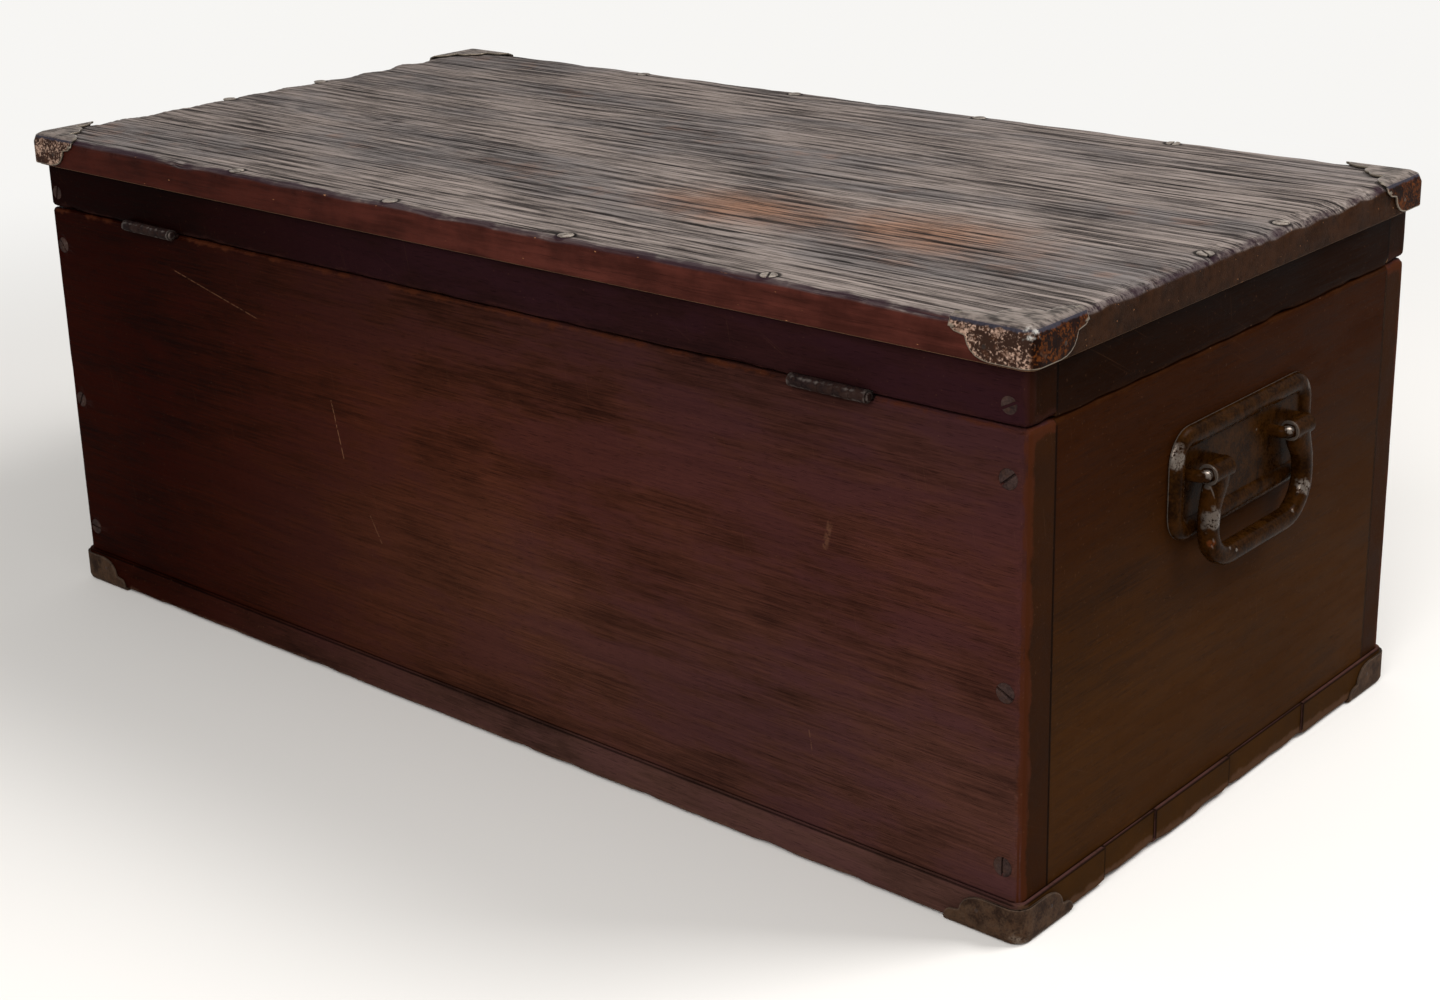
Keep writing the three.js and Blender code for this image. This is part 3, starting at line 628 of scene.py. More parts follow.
@dataclass(frozen=True)
class Iron:
    """Painted or browned iron, mottled with fine speckles, and bare and bright where it is rubbed. It can take
    painted shade on faces across X and painted highlights.
    """

    name: str
    coat: Colour
    coat_light: Colour
    bright: Colour
    rust: Colour
    rust_share: float = 0.35
    bright_share: float = 0.25
    edge_share: float = 0.8
    speckle: float = 1.1
    fine_share: float = 0.4
    contrast: Tuple[float, float] = (0.36, 0.66)
    # Tint of faces across X: mostly painted shade on the caps' end leaves, partly a darker patina.
    end_tint: Colour = (1.0, 1.0, 1.0)
    top: Optional[Colour] = None
    arris: Optional[Colour] = None
    # Colour of a painted highlight at the rubbed corner tip.
    tip: Optional[Colour] = None
    rubbed_reach: float = 1.6
    polished: float = 0.3
    dull: float = 0.62
    metallic: float = 0.15
    specular: float = 0.3
    pits: float = 0.05

    def dress(self, piece: Piece, box: Optional[np.ndarray] = None, spots: Sequence[Spot] = ()) -> None:
        """Gives a piece of ironwork its finish.

        Args:
            piece: the piece.
            box: a box along whose edges it is rubbed.
            spots: places where it is rubbed bright or given a painted highlight, or has a colour of its own.
        """
        shader = Shader(bpy.data.materials.new(f"{piece.name}_finish"))
        place = shader.place()
        facing = shader.facing()
        fine = shader.noise(place / self.speckle, 2.0, 0.6)
        broad = shader.noise(place / 9.0, 3.0, 0.6)
        streaks = shader.noise(place / 3.2, 2.0)
        mottled = broad * (1.0 - self.fine_share) + fine * self.fine_share
        colour = shader.mix(self.coat, self.coat_light, shader.rise(mottled, *self.contrast))
        rusty = shader.rise(streaks * 0.6 + broad * 0.4, 0.5, 0.6) * self.rust_share
        colour = shader.mix(colour, self.rust, rusty)
        # Painted shade: faces across X take the end tint.
        across = shader.rise(abs(facing.dot((1.0, 0.0, 0.0))), 0.5, 0.8)
        colour = shader.mix(colour, shader.tint(colour, self.end_tint), across)
        if self.top is not None:
            grain = shader.noise(place / (10.0, 2.0, 2.0), 3.0, 0.6) * 0.6 + broad * 0.4
            upper = shader.rise(facing.dot(UP), 0.75, 0.95)
            colour = shader.mix(colour, shader.tint(self.top, 0.25 + shader.rise(grain, 0.38, 0.6)), upper)
        rubbed = shader.rise(broad * 0.5 + streaks * 0.5, 0.6, 0.7) * self.bright_share
        edge = shader.node("ShaderNodeAttribute", {"attribute_name": EDGE}, output="Fac")
        edge = shader.rise(edge + (streaks - 0.5) * 0.5, 0.3, 0.7) * self.edge_share
        if box is not None:
            gap = shader.to_arris(place, box)
            rough_gap = gap + (streaks - 0.5) * self.rubbed_reach * 3.0
            edge = edge * shader.rise(gap, 1.6, 3.0)
            if self.arris is None:
                rubbed = rubbed.most(shader.rise(rough_gap, self.rubbed_reach, 0.0) * 0.8)
            else:
                below = float(box[1][2]) - place.parts()[2] + (streaks - 0.5) * 3.0
                folded = shader.rise(below, 3.3, 2.3) * shader.rise(facing.dot(UP), 0.95, 0.8)
                colour = shader.mix(colour, shader.tint(self.arris, 0.4 + fine * 1.2), folded)
        rubbed = rubbed.most(edge)
        # Spots carry rubbed metal, painted highlights and colours of their own, such as rust.
        for spot in spots:
            near = (place - spot.middle).length() + (streaks - 0.5) * spot.reach * 1.4
            near = shader.rise(near, spot.reach, spot.reach * 0.45)
            share = near * shader.rise(fine, 0.34, 0.5) * spot.strength
            if spot.colour is None:
                rubbed = rubbed.most(share)
            else:
                colour = shader.mix(colour, spot.colour, share)
        colour = shader.mix(colour, self.bright, rubbed)
        metallic = (rubbed * (1.0 - self.metallic) + self.metallic).least(1.0)
        roughness = self.dull - rubbed * (self.dull - self.polished) + (fine - 0.5) * 0.25
        height = (fine - 0.5) * self.pits - rusty * 0.04
        give(piece, shader.surface(colour, roughness, height, metallic, self.specular))


def give(piece: Piece, material: bpy.types.Material) -> None:
    """Makes a material the only one of a piece."""
    piece.data.materials.clear()
    piece.data.materials.append(material)


# Partly painted shade and partly darker stain: boards darken towards the +X end.
PAINTED_SHADE_FAR = Fade((1.0, 0.0, 0.0), -100.0, 290.0, (0.3, 0.12, 0.06))
WALL = Timber(
    "wall", (0.015, 0.0042, 0.0022), (0.084, 0.0235, 0.0115), (0.042, 0.0115, 0.0098), (0.05, 0.013, 0.005),
    end_grain=(0.02, 0.0065, 0.0018), fibre_share=0.35, even=0.17,
    fades=(
        PAINTED_SHADE_FAR,
        # Painted shade: the walls darken towards their tops, under the lid.
        Fade(UP, 170.0, 245.0, (0.68, 0.75, 0.9)),
        Fade((-1.0, 0.0, 0.0), -40.0, 260.0, (0.93, 1.05, 1.35)),
        Fade((0.0, 0.0, -1.0), -170.0, -60.0, (1.0, 1.2, 1.3)),
    ),
)
# The rim darkens towards +X like the walls, partly as painted shade.
RIM = Timber(
    "rim", (0.007, 0.0025, 0.0026), (0.025, 0.0075, 0.0075), (0.016, 0.005, 0.0075), (0.035, 0.011, 0.008),
    end_grain=(0.01, 0.0028, 0.0006), wear_share=0.3, fades=(PAINTED_SHADE_FAR,),
)
RIM_END = Timber(
    "rim_end", (0.003, 0.0006, 0.0001), (0.01, 0.0026, 0.0003), (0.006, 0.0015, 0.0002),
    (0.018, 0.006, 0.002), wear_share=0.3,
)
# The end boards' fade is painted shade: they darken towards the top, under the lid's overhang.
END = Timber(
    "end", (0.014, 0.0048, 0.0009), (0.048, 0.017, 0.0034), (0.027, 0.0092, 0.002), (0.036, 0.012, 0.003),
    wear_share=0.3, fibre_share=0.3, fades=(Fade(UP, 90.0, 235.0, (0.6, 0.42, 0.3)),),
)
# The floor darkens towards +X, partly as painted shade.
FLOOR = Timber(
    "floor", (0.02, 0.009, 0.0065), (0.095, 0.043, 0.033), (0.052, 0.021, 0.021), (0.1, 0.052, 0.032),
    end_grain=(0.03, 0.012, 0.003), wear_share=0.4, even=0.14, polished=0.5, dull=0.72, fades=(PAINTED_SHADE_FAR,),
)
BARE = Timber(
    "bare", (0.16, 0.085, 0.04), (0.36, 0.21, 0.11), (0.2, 0.11, 0.055), (0.33, 0.2, 0.11),
    end_grain=(0.2, 0.11, 0.055), fibre_share=0.45, even=0.16, ring_depth=0.22, polished=0.45, dull=0.65,
)
# The end tint is painted shade on the caps' end leaves, with some darker patina; the tip colour is a painted
# highlight on the rubbed corner.
CAP_STEEL = Iron(
    "cap", (0.024, 0.011, 0.007), (0.36, 0.235, 0.175), (0.2, 0.165, 0.125), (0.045, 0.017, 0.008),
    rust_share=0.6, bright_share=0.1, speckle=1.3, fine_share=0.5, contrast=(0.475, 0.595),
    end_tint=(0.22, 0.09, 0.02), top=(0.165, 0.136, 0.118), arris=(0.03, 0.027, 0.036), tip=(0.6, 0.57, 0.52),
    metallic=0.0, specular=0.04,
)
FOOT_STEEL = Iron(
    "foot", (0.016, 0.008, 0.005), (0.06, 0.034, 0.02), (0.14, 0.105, 0.08), (0.05, 0.024, 0.012),
    rust_share=0.4, bright_share=0.08, edge_share=0.2, metallic=0.0, specular=0.03,
)
# The nails' large bright share stands for rubbed metal and also a painted highlight on their domed heads.
NAIL_STEEL = Iron(
    "nail", (0.014, 0.009, 0.007), (0.05, 0.03, 0.022), (0.25, 0.21, 0.17), (0.05, 0.024, 0.012),
    bright_share=0.6, metallic=0.0, specular=0.1,
)
HANDLE_PAINT = Iron(
    "handle", (0.007, 0.0022, 0.0003), (0.024, 0.0085, 0.0012), (0.16, 0.135, 0.115), (0.032, 0.01, 0.002),
    rust_share=0.3, bright_share=0.0, edge_share=0.4, speckle=1.4, polished=0.3, dull=0.28, metallic=0.0,
    specular=0.012, pits=0.03,
)
HINGE_STEEL = Iron(
    "hinge", (0.006, 0.003, 0.003), (0.017, 0.0095, 0.0085), (0.1, 0.08, 0.07), (0.024, 0.01, 0.006),
    bright_share=0.12, metallic=0.0, specular=0.03,
)
SCREW_STEEL = Iron(
    "screw", (0.014, 0.008, 0.007), (0.046, 0.027, 0.023), (0.13, 0.1, 0.085), (0.035, 0.015, 0.008),
    bright_share=0.3, metallic=0.0, specular=0.03,
)
WORN_SCREW = Iron(
    "worn_screw", (0.12, 0.1, 0.085), (0.36, 0.31, 0.26), (0.5, 0.45, 0.4), (0.07, 0.04, 0.03),
    rust_share=0.5, bright_share=0.3, metallic=0.2, specular=0.1,
)
LOCK_BRASS = Iron(
    "lock", (0.16, 0.1, 0.035), (0.33, 0.22, 0.085), (0.7, 0.52, 0.24), (0.07, 0.045, 0.02),
    rust_share=0.4, bright_share=0.6, polished=0.24, dull=0.5,
)


def box_of(node: str) -> np.ndarray:
    """The lowest and highest corners of a node, in millimetres."""
    return np.array([list(corner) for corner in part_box(node)]) * PER_METRE


def opened(box: np.ndarray, low: Point, high: Point = (0, 0, 0), by: float = 80.0) -> np.ndarray:
    """A box that reaches further out on the sides marked 1."""
    return box + by * np.array([[-side for side in low], list(high)], float)


def long_lie(box: np.ndarray, way: float, below: int, above: int) -> Lie:
    """How a board of the front or the back lies, joined on its inner side, and below or above if marked 1."""
    joined = opened(box, (0, int(way > 0), below), (0, int(way < 0), above))
    return Lie(box, joined, Grain.ALONG, (0.0, -way, 0.0))


def end_lie(box: np.ndarray, end: End, below: int, above: int) -> Lie:
    """How a board of an end lies, joined to the front and the back, and below or above if marked 1."""
    joined = opened(box, (0, 1, below), (0, 1, above))
    return Lie(box, joined, Grain.DEEP, (-float(end.value), 0.0, 0.0))


def waves(points: np.ndarray, lengths: Point, seed: int, count: int = 10) -> np.ndarray:
    """Smooth seeded noise, mostly between -1 and 1.

    Args:
        points: places, one row each.
        lengths: about how far apart its crests are along each axis.
        seed: picks the waves.
        count: how many waves are summed.

    Returns:
        One value for each point.
    """
    draw = np.random.default_rng(seed)
    heading = draw.normal(size=(count, 3))
    heading /= np.linalg.norm(heading, axis=1, keepdims=True)
    pace = heading * draw.uniform(0.6, 1.6, (count, 1)) / np.asarray(lengths)
    start = draw.uniform(0, 2 * math.pi, count)
    return np.sin(2 * math.pi * points @ pace.T + start).sum(axis=1) / math.sqrt(count * 1.3)


def even(length: float) -> Point:
    """The same length on every axis."""
    return (length, length, length)


@dataclass(frozen=True)
class Wear:
    """How far a board's arrises are rubbed and knocked in, and how far its faces sag."""

    reach: float = 2.6
    depth: float = 0.45
    wave: float = 26.0
    chips: int = 14
    chip_reach: float = 3.6
    chip_depth: float = 1.1
    sag: float = 0.1
    seed: int = 1

    def moved(self, points: np.ndarray, box: np.ndarray) -> np.ndarray:
        """Moves points inwards.

        Args:
            points: the board's points, one row each.
            box: the board's open box.

        Returns:
            The worn points.
        """
        inward = np.sign(box.mean(axis=0) - points)
        gap = np.minimum(points - box[0], box[1] - points).clip(0)
        near = np.exp(-((gap / self.reach) ** 2))
        arris = np.sort(near, axis=1)[:, 1]
        amount = self.depth * (0.6 + 0.5 * waves(points, even(self.wave), self.seed))
        draw = np.random.default_rng(self.seed)
        sharp = np.flatnonzero(arris > 0.7)
        for index in draw.choice(sharp, min(self.chips, len(sharp)), replace=False):
            reach = self.chip_reach * draw.uniform(0.5, 1.5)
            away = np.linalg.norm(points - points[index], axis=1)
            amount += self.chip_depth * draw.uniform(0.3, 1.0) * np.exp(-((away / reach) ** 2))
        step = near * (arris * amount.clip(0))[:, None] / math.sqrt(2)
        face = (near >= near.max(axis=1, keepdims=True)) & (near > 0.95)
        step += face * (self.sag * (0.5 + 0.5 * waves(points, even(150.0), self.seed + 1)).clip(0))[:, None]
        return points + inward * step


def lattice(xs: np.ndarray, ys: np.ndarray, zs: np.ndarray) -> Solid:
    """The surface of a box, cut into quads at given places along each axis.

    Args:
        xs: places along X, lowest first.
        ys: places along Y.
        zs: places along Z.

    Returns:
        The points and the quads, which face out.
    """
    counts = (len(xs), len(ys), len(zs))
    outer = np.zeros(counts, bool)
    for axis in range(3):
        for end in (0, -1):
            outer[tuple(end if a == axis else slice(None) for a in range(3))] = True
    ids = np.full(counts, -1)
    ids[outer] = np.arange(outer.sum())
    where = np.nonzero(outer)
    points = np.stack([xs[where[0]], ys[where[1]], zs[where[2]]], axis=1)
    quads = []
    for axis in range(3):
        for end in (0, -1):
            sheet = np.take(ids, end, axis=axis)
            corners = [sheet[:-1, :-1], sheet[1:, :-1], sheet[1:, 1:], sheet[:-1, 1:]]
            faces = np.stack(corners, axis=-1).reshape(-1, 4)
            quads.append(faces[:, ::-1] if (end == 0) != (axis == 1) else faces)
    return points, np.concatenate(quads)


def cuts(low: float, high: float, pitch: float, close: Sequence[float] = CLOSE) -> np.ndarray:
    """Finds places to cut a board between two faces: close together near each face and evenly between.

    Args:
        low: one face's place.
        high: the other's.
        pitch: about how far apart the even cuts are.
        close: how far from each face the close ones are.

    Returns:
        The places, with both faces.
    """
    near = [step for step in close if step < (high - low) * 0.4]
    inner = np.linspace(low + near[-1], high - near[-1], max(2, math.ceil((high - low) / pitch)))
    ends = [[low + step, high - step] for step in near]
    return np.unique(np.concatenate([[low, high], *ends, inner]).round(4))


def onto_round(side: np.ndarray, face: np.ndarray) -> np.ndarray:
    """The share by which a point in a square corner moves in to lie on its quarter circle."""
    return np.maximum(side, face) / np.maximum(np.hypot(side, face), 1e-9)


def rounded(points: np.ndarray, box: np.ndarray, corner: float, upper: float, lower: float) -> np.ndarray:
    """Rounds the edges of a box's surface points.

    Args:
        points: points on the box.
        box: the box.
        corner: radius of its upright edges.
        upper: radius of its top edges.
        lower: radius of its bottom edges.

    Returns:
        The points on the rounded box.
    """
    made = points.copy()
    core = np.clip(points[:, :2], box[0, :2] + corner, box[1, :2] - corner)
    out = points[:, :2] - core
    out *= onto_round(np.abs(out[:, 0]), np.abs(out[:, 1]))[:, None]
    size = np.linalg.norm(out, axis=1)
    heading = out / np.maximum(size, 1e-9)[:, None]
    top = points[:, 2] > box[:, 2].mean()
    radius = np.where(top, upper, lower)
    drop = np.where(top, box[1, 2] - points[:, 2], points[:, 2] - box[0, 2])
    side = (radius - (corner - size)).clip(0)
    face = (radius - drop).clip(0)
    share = onto_round(side, face)
    out += heading * (side * (share - 1))[:, None]
    made[:, :2] = core + out
    made[:, 2] += np.where(top, 1, -1) * face * (share - 1)
    return made


def soften(mesh: bpy.types.Mesh, angle: float) -> None:
    """Shades a mesh smooth up to an angle in degrees."""
    mesh.shade_smooth()
    mesh.set_sharp_from_angle(angle=math.radians(angle))


def add(name: str, mesh: bpy.types.Mesh, angle: float) -> Piece:
    """Adds a mesh to the scene.

    Args:
        name: the piece's name.
        mesh: its mesh.
        angle: up to which it is smooth, in degrees.

    Returns:
        The piece.
    """
    soften(mesh, angle)
    piece = bpy.data.objects.new(name, mesh)
    bpy.context.scene.collection.objects.link(piece)
    return piece


def make(name: str, points: np.ndarray, faces: Iterable[Sequence[int]], angle: float = 35.0) -> Piece:
    """Makes a piece.

    Args:
        name: its name.
        points: its points, in millimetres.
        faces: its faces.
        angle: up to which it is smooth, in degrees.

    Returns:
        The piece.
    """
    mesh = bpy.data.meshes.new(name)
    mesh.from_pydata((np.asarray(points) * MM).tolist(), [], [list(map(int, face)) for face in faces])
    return add(name, mesh, angle)


def keep(piece: Piece, name: str, values: np.ndarray) -> None:
    """Stores a value for each point of a piece, for its finish to read."""
    piece.data.attributes.new(name, "FLOAT", "POINT").data.foreach_set("value", values.astype(np.float32))


def points_of(mesh: bpy.types.Mesh) -> np.ndarray:
    """Reads a mesh's points.

    Args:
        mesh: the mesh.

    Returns:
        Its points in millimetres, one row each.
    """
    flat = np.zeros(len(mesh.vertices) * 3)
    mesh.vertices.foreach_get("co", flat)
    return flat.reshape(-1, 3) * PER_METRE


def loft(rings: Sequence[np.ndarray]) -> Solid:
    """Joins closed rings of points, with a face over the first and the last.

    Args:
        rings: rings with the same number of points each.

    Returns:
        The points and the faces.
    """
    count = len(rings[0])
    faces: List[Sequence[int]] = [list(range(count))[::-1]]
    for row in range(len(rings) - 1):
        for index in range(count):
            after = (index + 1) % count
            low, high = row * count, (row + 1) * count
            faces.append([low + index, low + after, high + after, high + index])
    last = (len(rings) - 1) * count
    faces.append(list(range(last, last + count)))
    return np.concatenate(rings), faces


def turned(profile: Sequence[Tuple[float, float]], sides: int) -> Solid:
    """A body of revolution about Z.

    Args:
        profile: radii above zero with their heights, from the lowest up.
        sides: how many sides it has.

    Returns:
        The points and the faces.
    """
    turn = np.arange(sides) / sides * 2 * math.pi
    around = np.stack([np.cos(turn), np.sin(turn), np.zeros(sides)], axis=1)
    return loft([around * radius + (0, 0, height) for radius, height in profile])


def combined(base: Piece, others: Sequence[Piece], operation: str) -> Piece:
    """Joins other pieces to a piece, or cuts it with them, and deletes them.

    Args:
        base: the piece.
        others: the pieces that it is joined or cut with.
        operation: the operation's name in Blender.

    Returns:
        The piece, with its new mesh.
    """
    for other in others:
        step = base.modifiers.new(operation, "BOOLEAN")
        step.operation = operation
        step.object = other
        step.solver = "MANIFOLD"
    graph = bpy.context.evaluated_depsgraph_get()
    mesh = bpy.data.meshes.new_from_object(base.evaluated_get(graph))
    base.modifiers.clear()
    base.data = mesh
    for other in others:
        bpy.data.objects.remove(other)
    soften(mesh, 40.0)
    return base


def working_copy(node: str) -> bmesh.types.BMesh:
    """Copies a node's mesh, with its doubled points joined.

    Args:
        node: the node.

    Returns:
        The copy, in metres.
    """
    shape = bmesh.new()
    shape.from_mesh(frame["nodes"][node].data)
    bmesh.ops.remove_doubles(shape, verts=shape.verts, dist=WELD)
    return shape


def slice_up(shape: bmesh.types.BMesh, box: np.ndarray, pitch: float, close: Sequence[float] = CLOSE) -> None:
    """Cuts a mesh through along each axis, so that its points can be moved.

    Args:
        shape: the mesh, in metres.
        box: its box, in millimetres.
        pitch: about how far apart the cuts are.
        close: how far from the faces of the box the close cuts are.
    """
    for axis in range(3):
        normal = Vector([float(a == axis) for a in range(3)])
        for place in cuts(box[0][axis], box[1][axis], pitch, close)[1:-1]:
            everything = shape.verts[:] + shape.edges[:] + shape.faces[:]
            bmesh.ops.bisect_plane(
                shape, geom=everything, dist=WELD, plane_co=normal * place * MM, plane_no=normal,
            )


def closed(shape: bmesh.types.BMesh, name: str) -> bpy.types.Mesh:
    """Turns a working copy into a mesh.

    Args:
        shape: the working copy, which is freed.
        name: the mesh's name.

    Returns:
        The mesh.
    """
    mesh = bpy.data.meshes.new(name)
    shape.to_mesh(mesh)
    shape.free()
    return mesh


def refined(node: str, bevel: float, band: float = 0.0) -> Piece:
    """Makes a copy of a node with its edges softened.

    Args:
        node: the node.
        bevel: width of its softened edges.
        band: width of the band along the edges of its flat faces that its finish can tell apart.

    Returns:
        The new piece.
    """
    shape = working_copy(node)
    bmesh.ops.dissolve_limit(shape, angle_limit=math.radians(1), verts=shape.verts, edges=shape.edges)
    sharp = [edge for edge in shape.edges if edge.is_manifold and edge.calc_face_angle() > math.radians(30)]
    bmesh.ops.bevel(
        shape, geom=sharp, offset=bevel * MM, offset_type="OFFSET", segments=2, profile=0.5,
        affect="EDGES", clamp_overlap=True,
    )
    if band:
        box = box_of(node)
        flat = [face for face in shape.faces if len(face.verts) > 6]
        bmesh.ops.inset_individual(shape, faces=flat, thickness=band * MM, use_even_offset=False)
        slice_up(shape, box, 4.0, (band,))
        outward = Vector(np.sign(box.mean(axis=0)) * (1, 1, 1 if "top" in node else -1))
        mark_cut_edge(shape, outward, bevel * 1.5 * MM)
    bmesh.ops.triangulate(shape, faces=[face for face in shape.faces if len(face.verts) > 4])
    name = f"{node}_metal"
    return add(name, closed(shape, name), 40.0)


def mark_cut_edge(shape: bmesh.types.BMesh, outward: Vector, reach: float) -> None:
    """Marks the points of a pressed cap that are near its cut edge, for its finish to read.

    Args:
        shape: the cap.
        outward: the way from the chest's middle to the cap's corner.
        reach: how near they are, in metres.
    """
    layer = shape.verts.layers.float.new(EDGE)
    edge = np.array([
        list(point.co) for point in shape.verts
        if any(face.normal.dot(outward) < 0.05 for face in point.link_faces)
    ])
    for point in shape.verts:
        point[layer] = float(np.linalg.norm(edge - np.array(point.co), axis=1).min() < reach)


class Fitter:
    """Puts pieces on the body of the node that they stand for or sit on."""

    def __init__(self) -> None:
        """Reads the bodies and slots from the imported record."""
        record = frame["record"]
        bodies = record["behaviour"]["bodies"].items()
        self.body_of = {node: body for body, nodes in bodies for node in nodes}
        self.slot_of = {part["node"]: part["material_slot"] for part in record["subparts"]}
        self.made = 0

    def attach(self, piece: Piece, node: str) -> None:
        """Fixes a piece to a node that stays.

        Args:
            piece: the piece.
            node: the node.
        """
        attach(piece, self.body_of[node])
        self.made += 1

    def replace(self, piece: Piece, node: str) -> None:
        """Puts a piece in a node's place."""
        self.attach(piece, node)
        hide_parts(node)


@dataclass
class Joinery:
    """Boards: those with holes are cut from their nodes, and plain ones are built anew."""

    fitter: Fitter
    pitch: float = 9.0

    def cut_board(self, node: str, finish: Timber, lie: Lie, wear: Wear, marks: Sequence[Mark] = ()) -> None:
        """Makes a worn board from a node that has holes or pockets.

        Args:
            node: the node.
            finish: its finish.
            lie: how the board lies.
            wear: how it is worn.
            marks: its own scratches.
        """
        name = f"{node}_timber"
        shape = working_copy(node)
        slice_up(shape, lie.box, self.pitch)
        mesh = closed(shape, name)
        worn = wear.moved(points_of(mesh), lie.open_box) * MM
        mesh.vertices.foreach_set("co", worn.ravel())
        piece = add(name, mesh, 35.0)
        finish.dress(piece, lie, marks)
        self.fitter.replace(piece, node)

    def plank(
        self, node: str, finish: Timber, lie: Lie, wear: Wear,
        radii: Tuple[float, float, float] = (1.0, 0.8, 0.8), outer: Optional[np.ndarray] = None,
    ) -> None:
        """Makes a worn board without holes in a node's place.

        Args:
            node: the node.
            finish: its finish.
            lie: how the board lies.
            wear: how it is worn.
            radii: of its upright, top and bottom edges.
            outer: the box whose edges are rounded, where that isn't the board's own.
        """
        points, faces = lattice(*(cuts(lie.box[0][a], lie.box[1][a], self.pitch) for a in range(3)))
        points = rounded(points, lie.box if outer is None else outer, *radii)
        piece = make(f"{node}_timber", wear.moved(points, lie.open_box), faces)
        finish.dress(piece, lie)
        self.fitter.replace(piece, node)


@dataclass
class Carcase:
    """The four walls of the chest and the five boards of its floor."""

    joinery: Joinery
    boards: int = 5
    floor_corner: float = 7.0
    floor_upper: float = 0.3
    floor_round: float = 1.5
    back_marks: Tuple[Tuple[float, ...], ...] = (
        (236.0, 222.0, 160.0, 205.0, 0.5, 0.4),
        (100.0, 168.0, 93.0, 136.0, 0.6, 0.6),
        (-250.0, 178.0, -247.0, 166.0, 2.2, 0.25),
        (74.0, 106.0, 66.0, 92.0, 0.7, 0.3),
        (-236.0, 70.0, -238.0, 58.0, 0.5, 0.3),
    )

    def build(self) -> None:
        """Makes the walls, then the floor. The back's marks are given as X, Z, X, Z, width and strength."""
        face = box_of("back_board")[1][1]
        marks = [Mark((x, face, z), (to_x, face, to_z), *rest) for x, z, to_x, to_z, *rest in self.back_marks]
        for (side, way), seed in zip(SIDES.items(), (11, 12)):
            node = f"{side}_board"
            wear = Wear(depth=0.6, chips=34, chip_depth=1.3, seed=seed)
            lie = long_lie(box_of(node), way, 1, 0)
            self.joinery.cut_board(node, WALL, lie, wear, marks if side == "back" else ())
        for end in End:
            node = f"{end.word}_end_board"
            lie = end_lie(box_of(node), end, 1, 0)
            self.joinery.cut_board(node, END, lie, Wear(chips=6, seed=13 + end.value))
        self._floor()

    def _floor(self) -> None:
        """Makes the floor boards, which are rounded where they meet the outside of the chest."""
        inside = (float(box_of("right_end_board")[0][0]), float(box_of("back_board")[0][1]))
        radii = (self.floor_corner, self.floor_upper, self.floor_round)
        for index in range(1, self.boards + 1):
            node = f"floor_board_{index}"
            box = box_of(node)
            before, after = int(index < self.boards), int(index > 1)
            outer = opened(box, (0, before, 0), (0, after, 0), self.floor_corner)
            lie = Lie(box, opened(box, (0, before, 0), (0, after, 1)), Grain.ALONG, UP, inside)
            wear = Wear(depth=0.35, chips=14, chip_depth=1.0, seed=20 + index)
            self.joinery.plank(node, FLOOR, lie, wear, radii, outer)


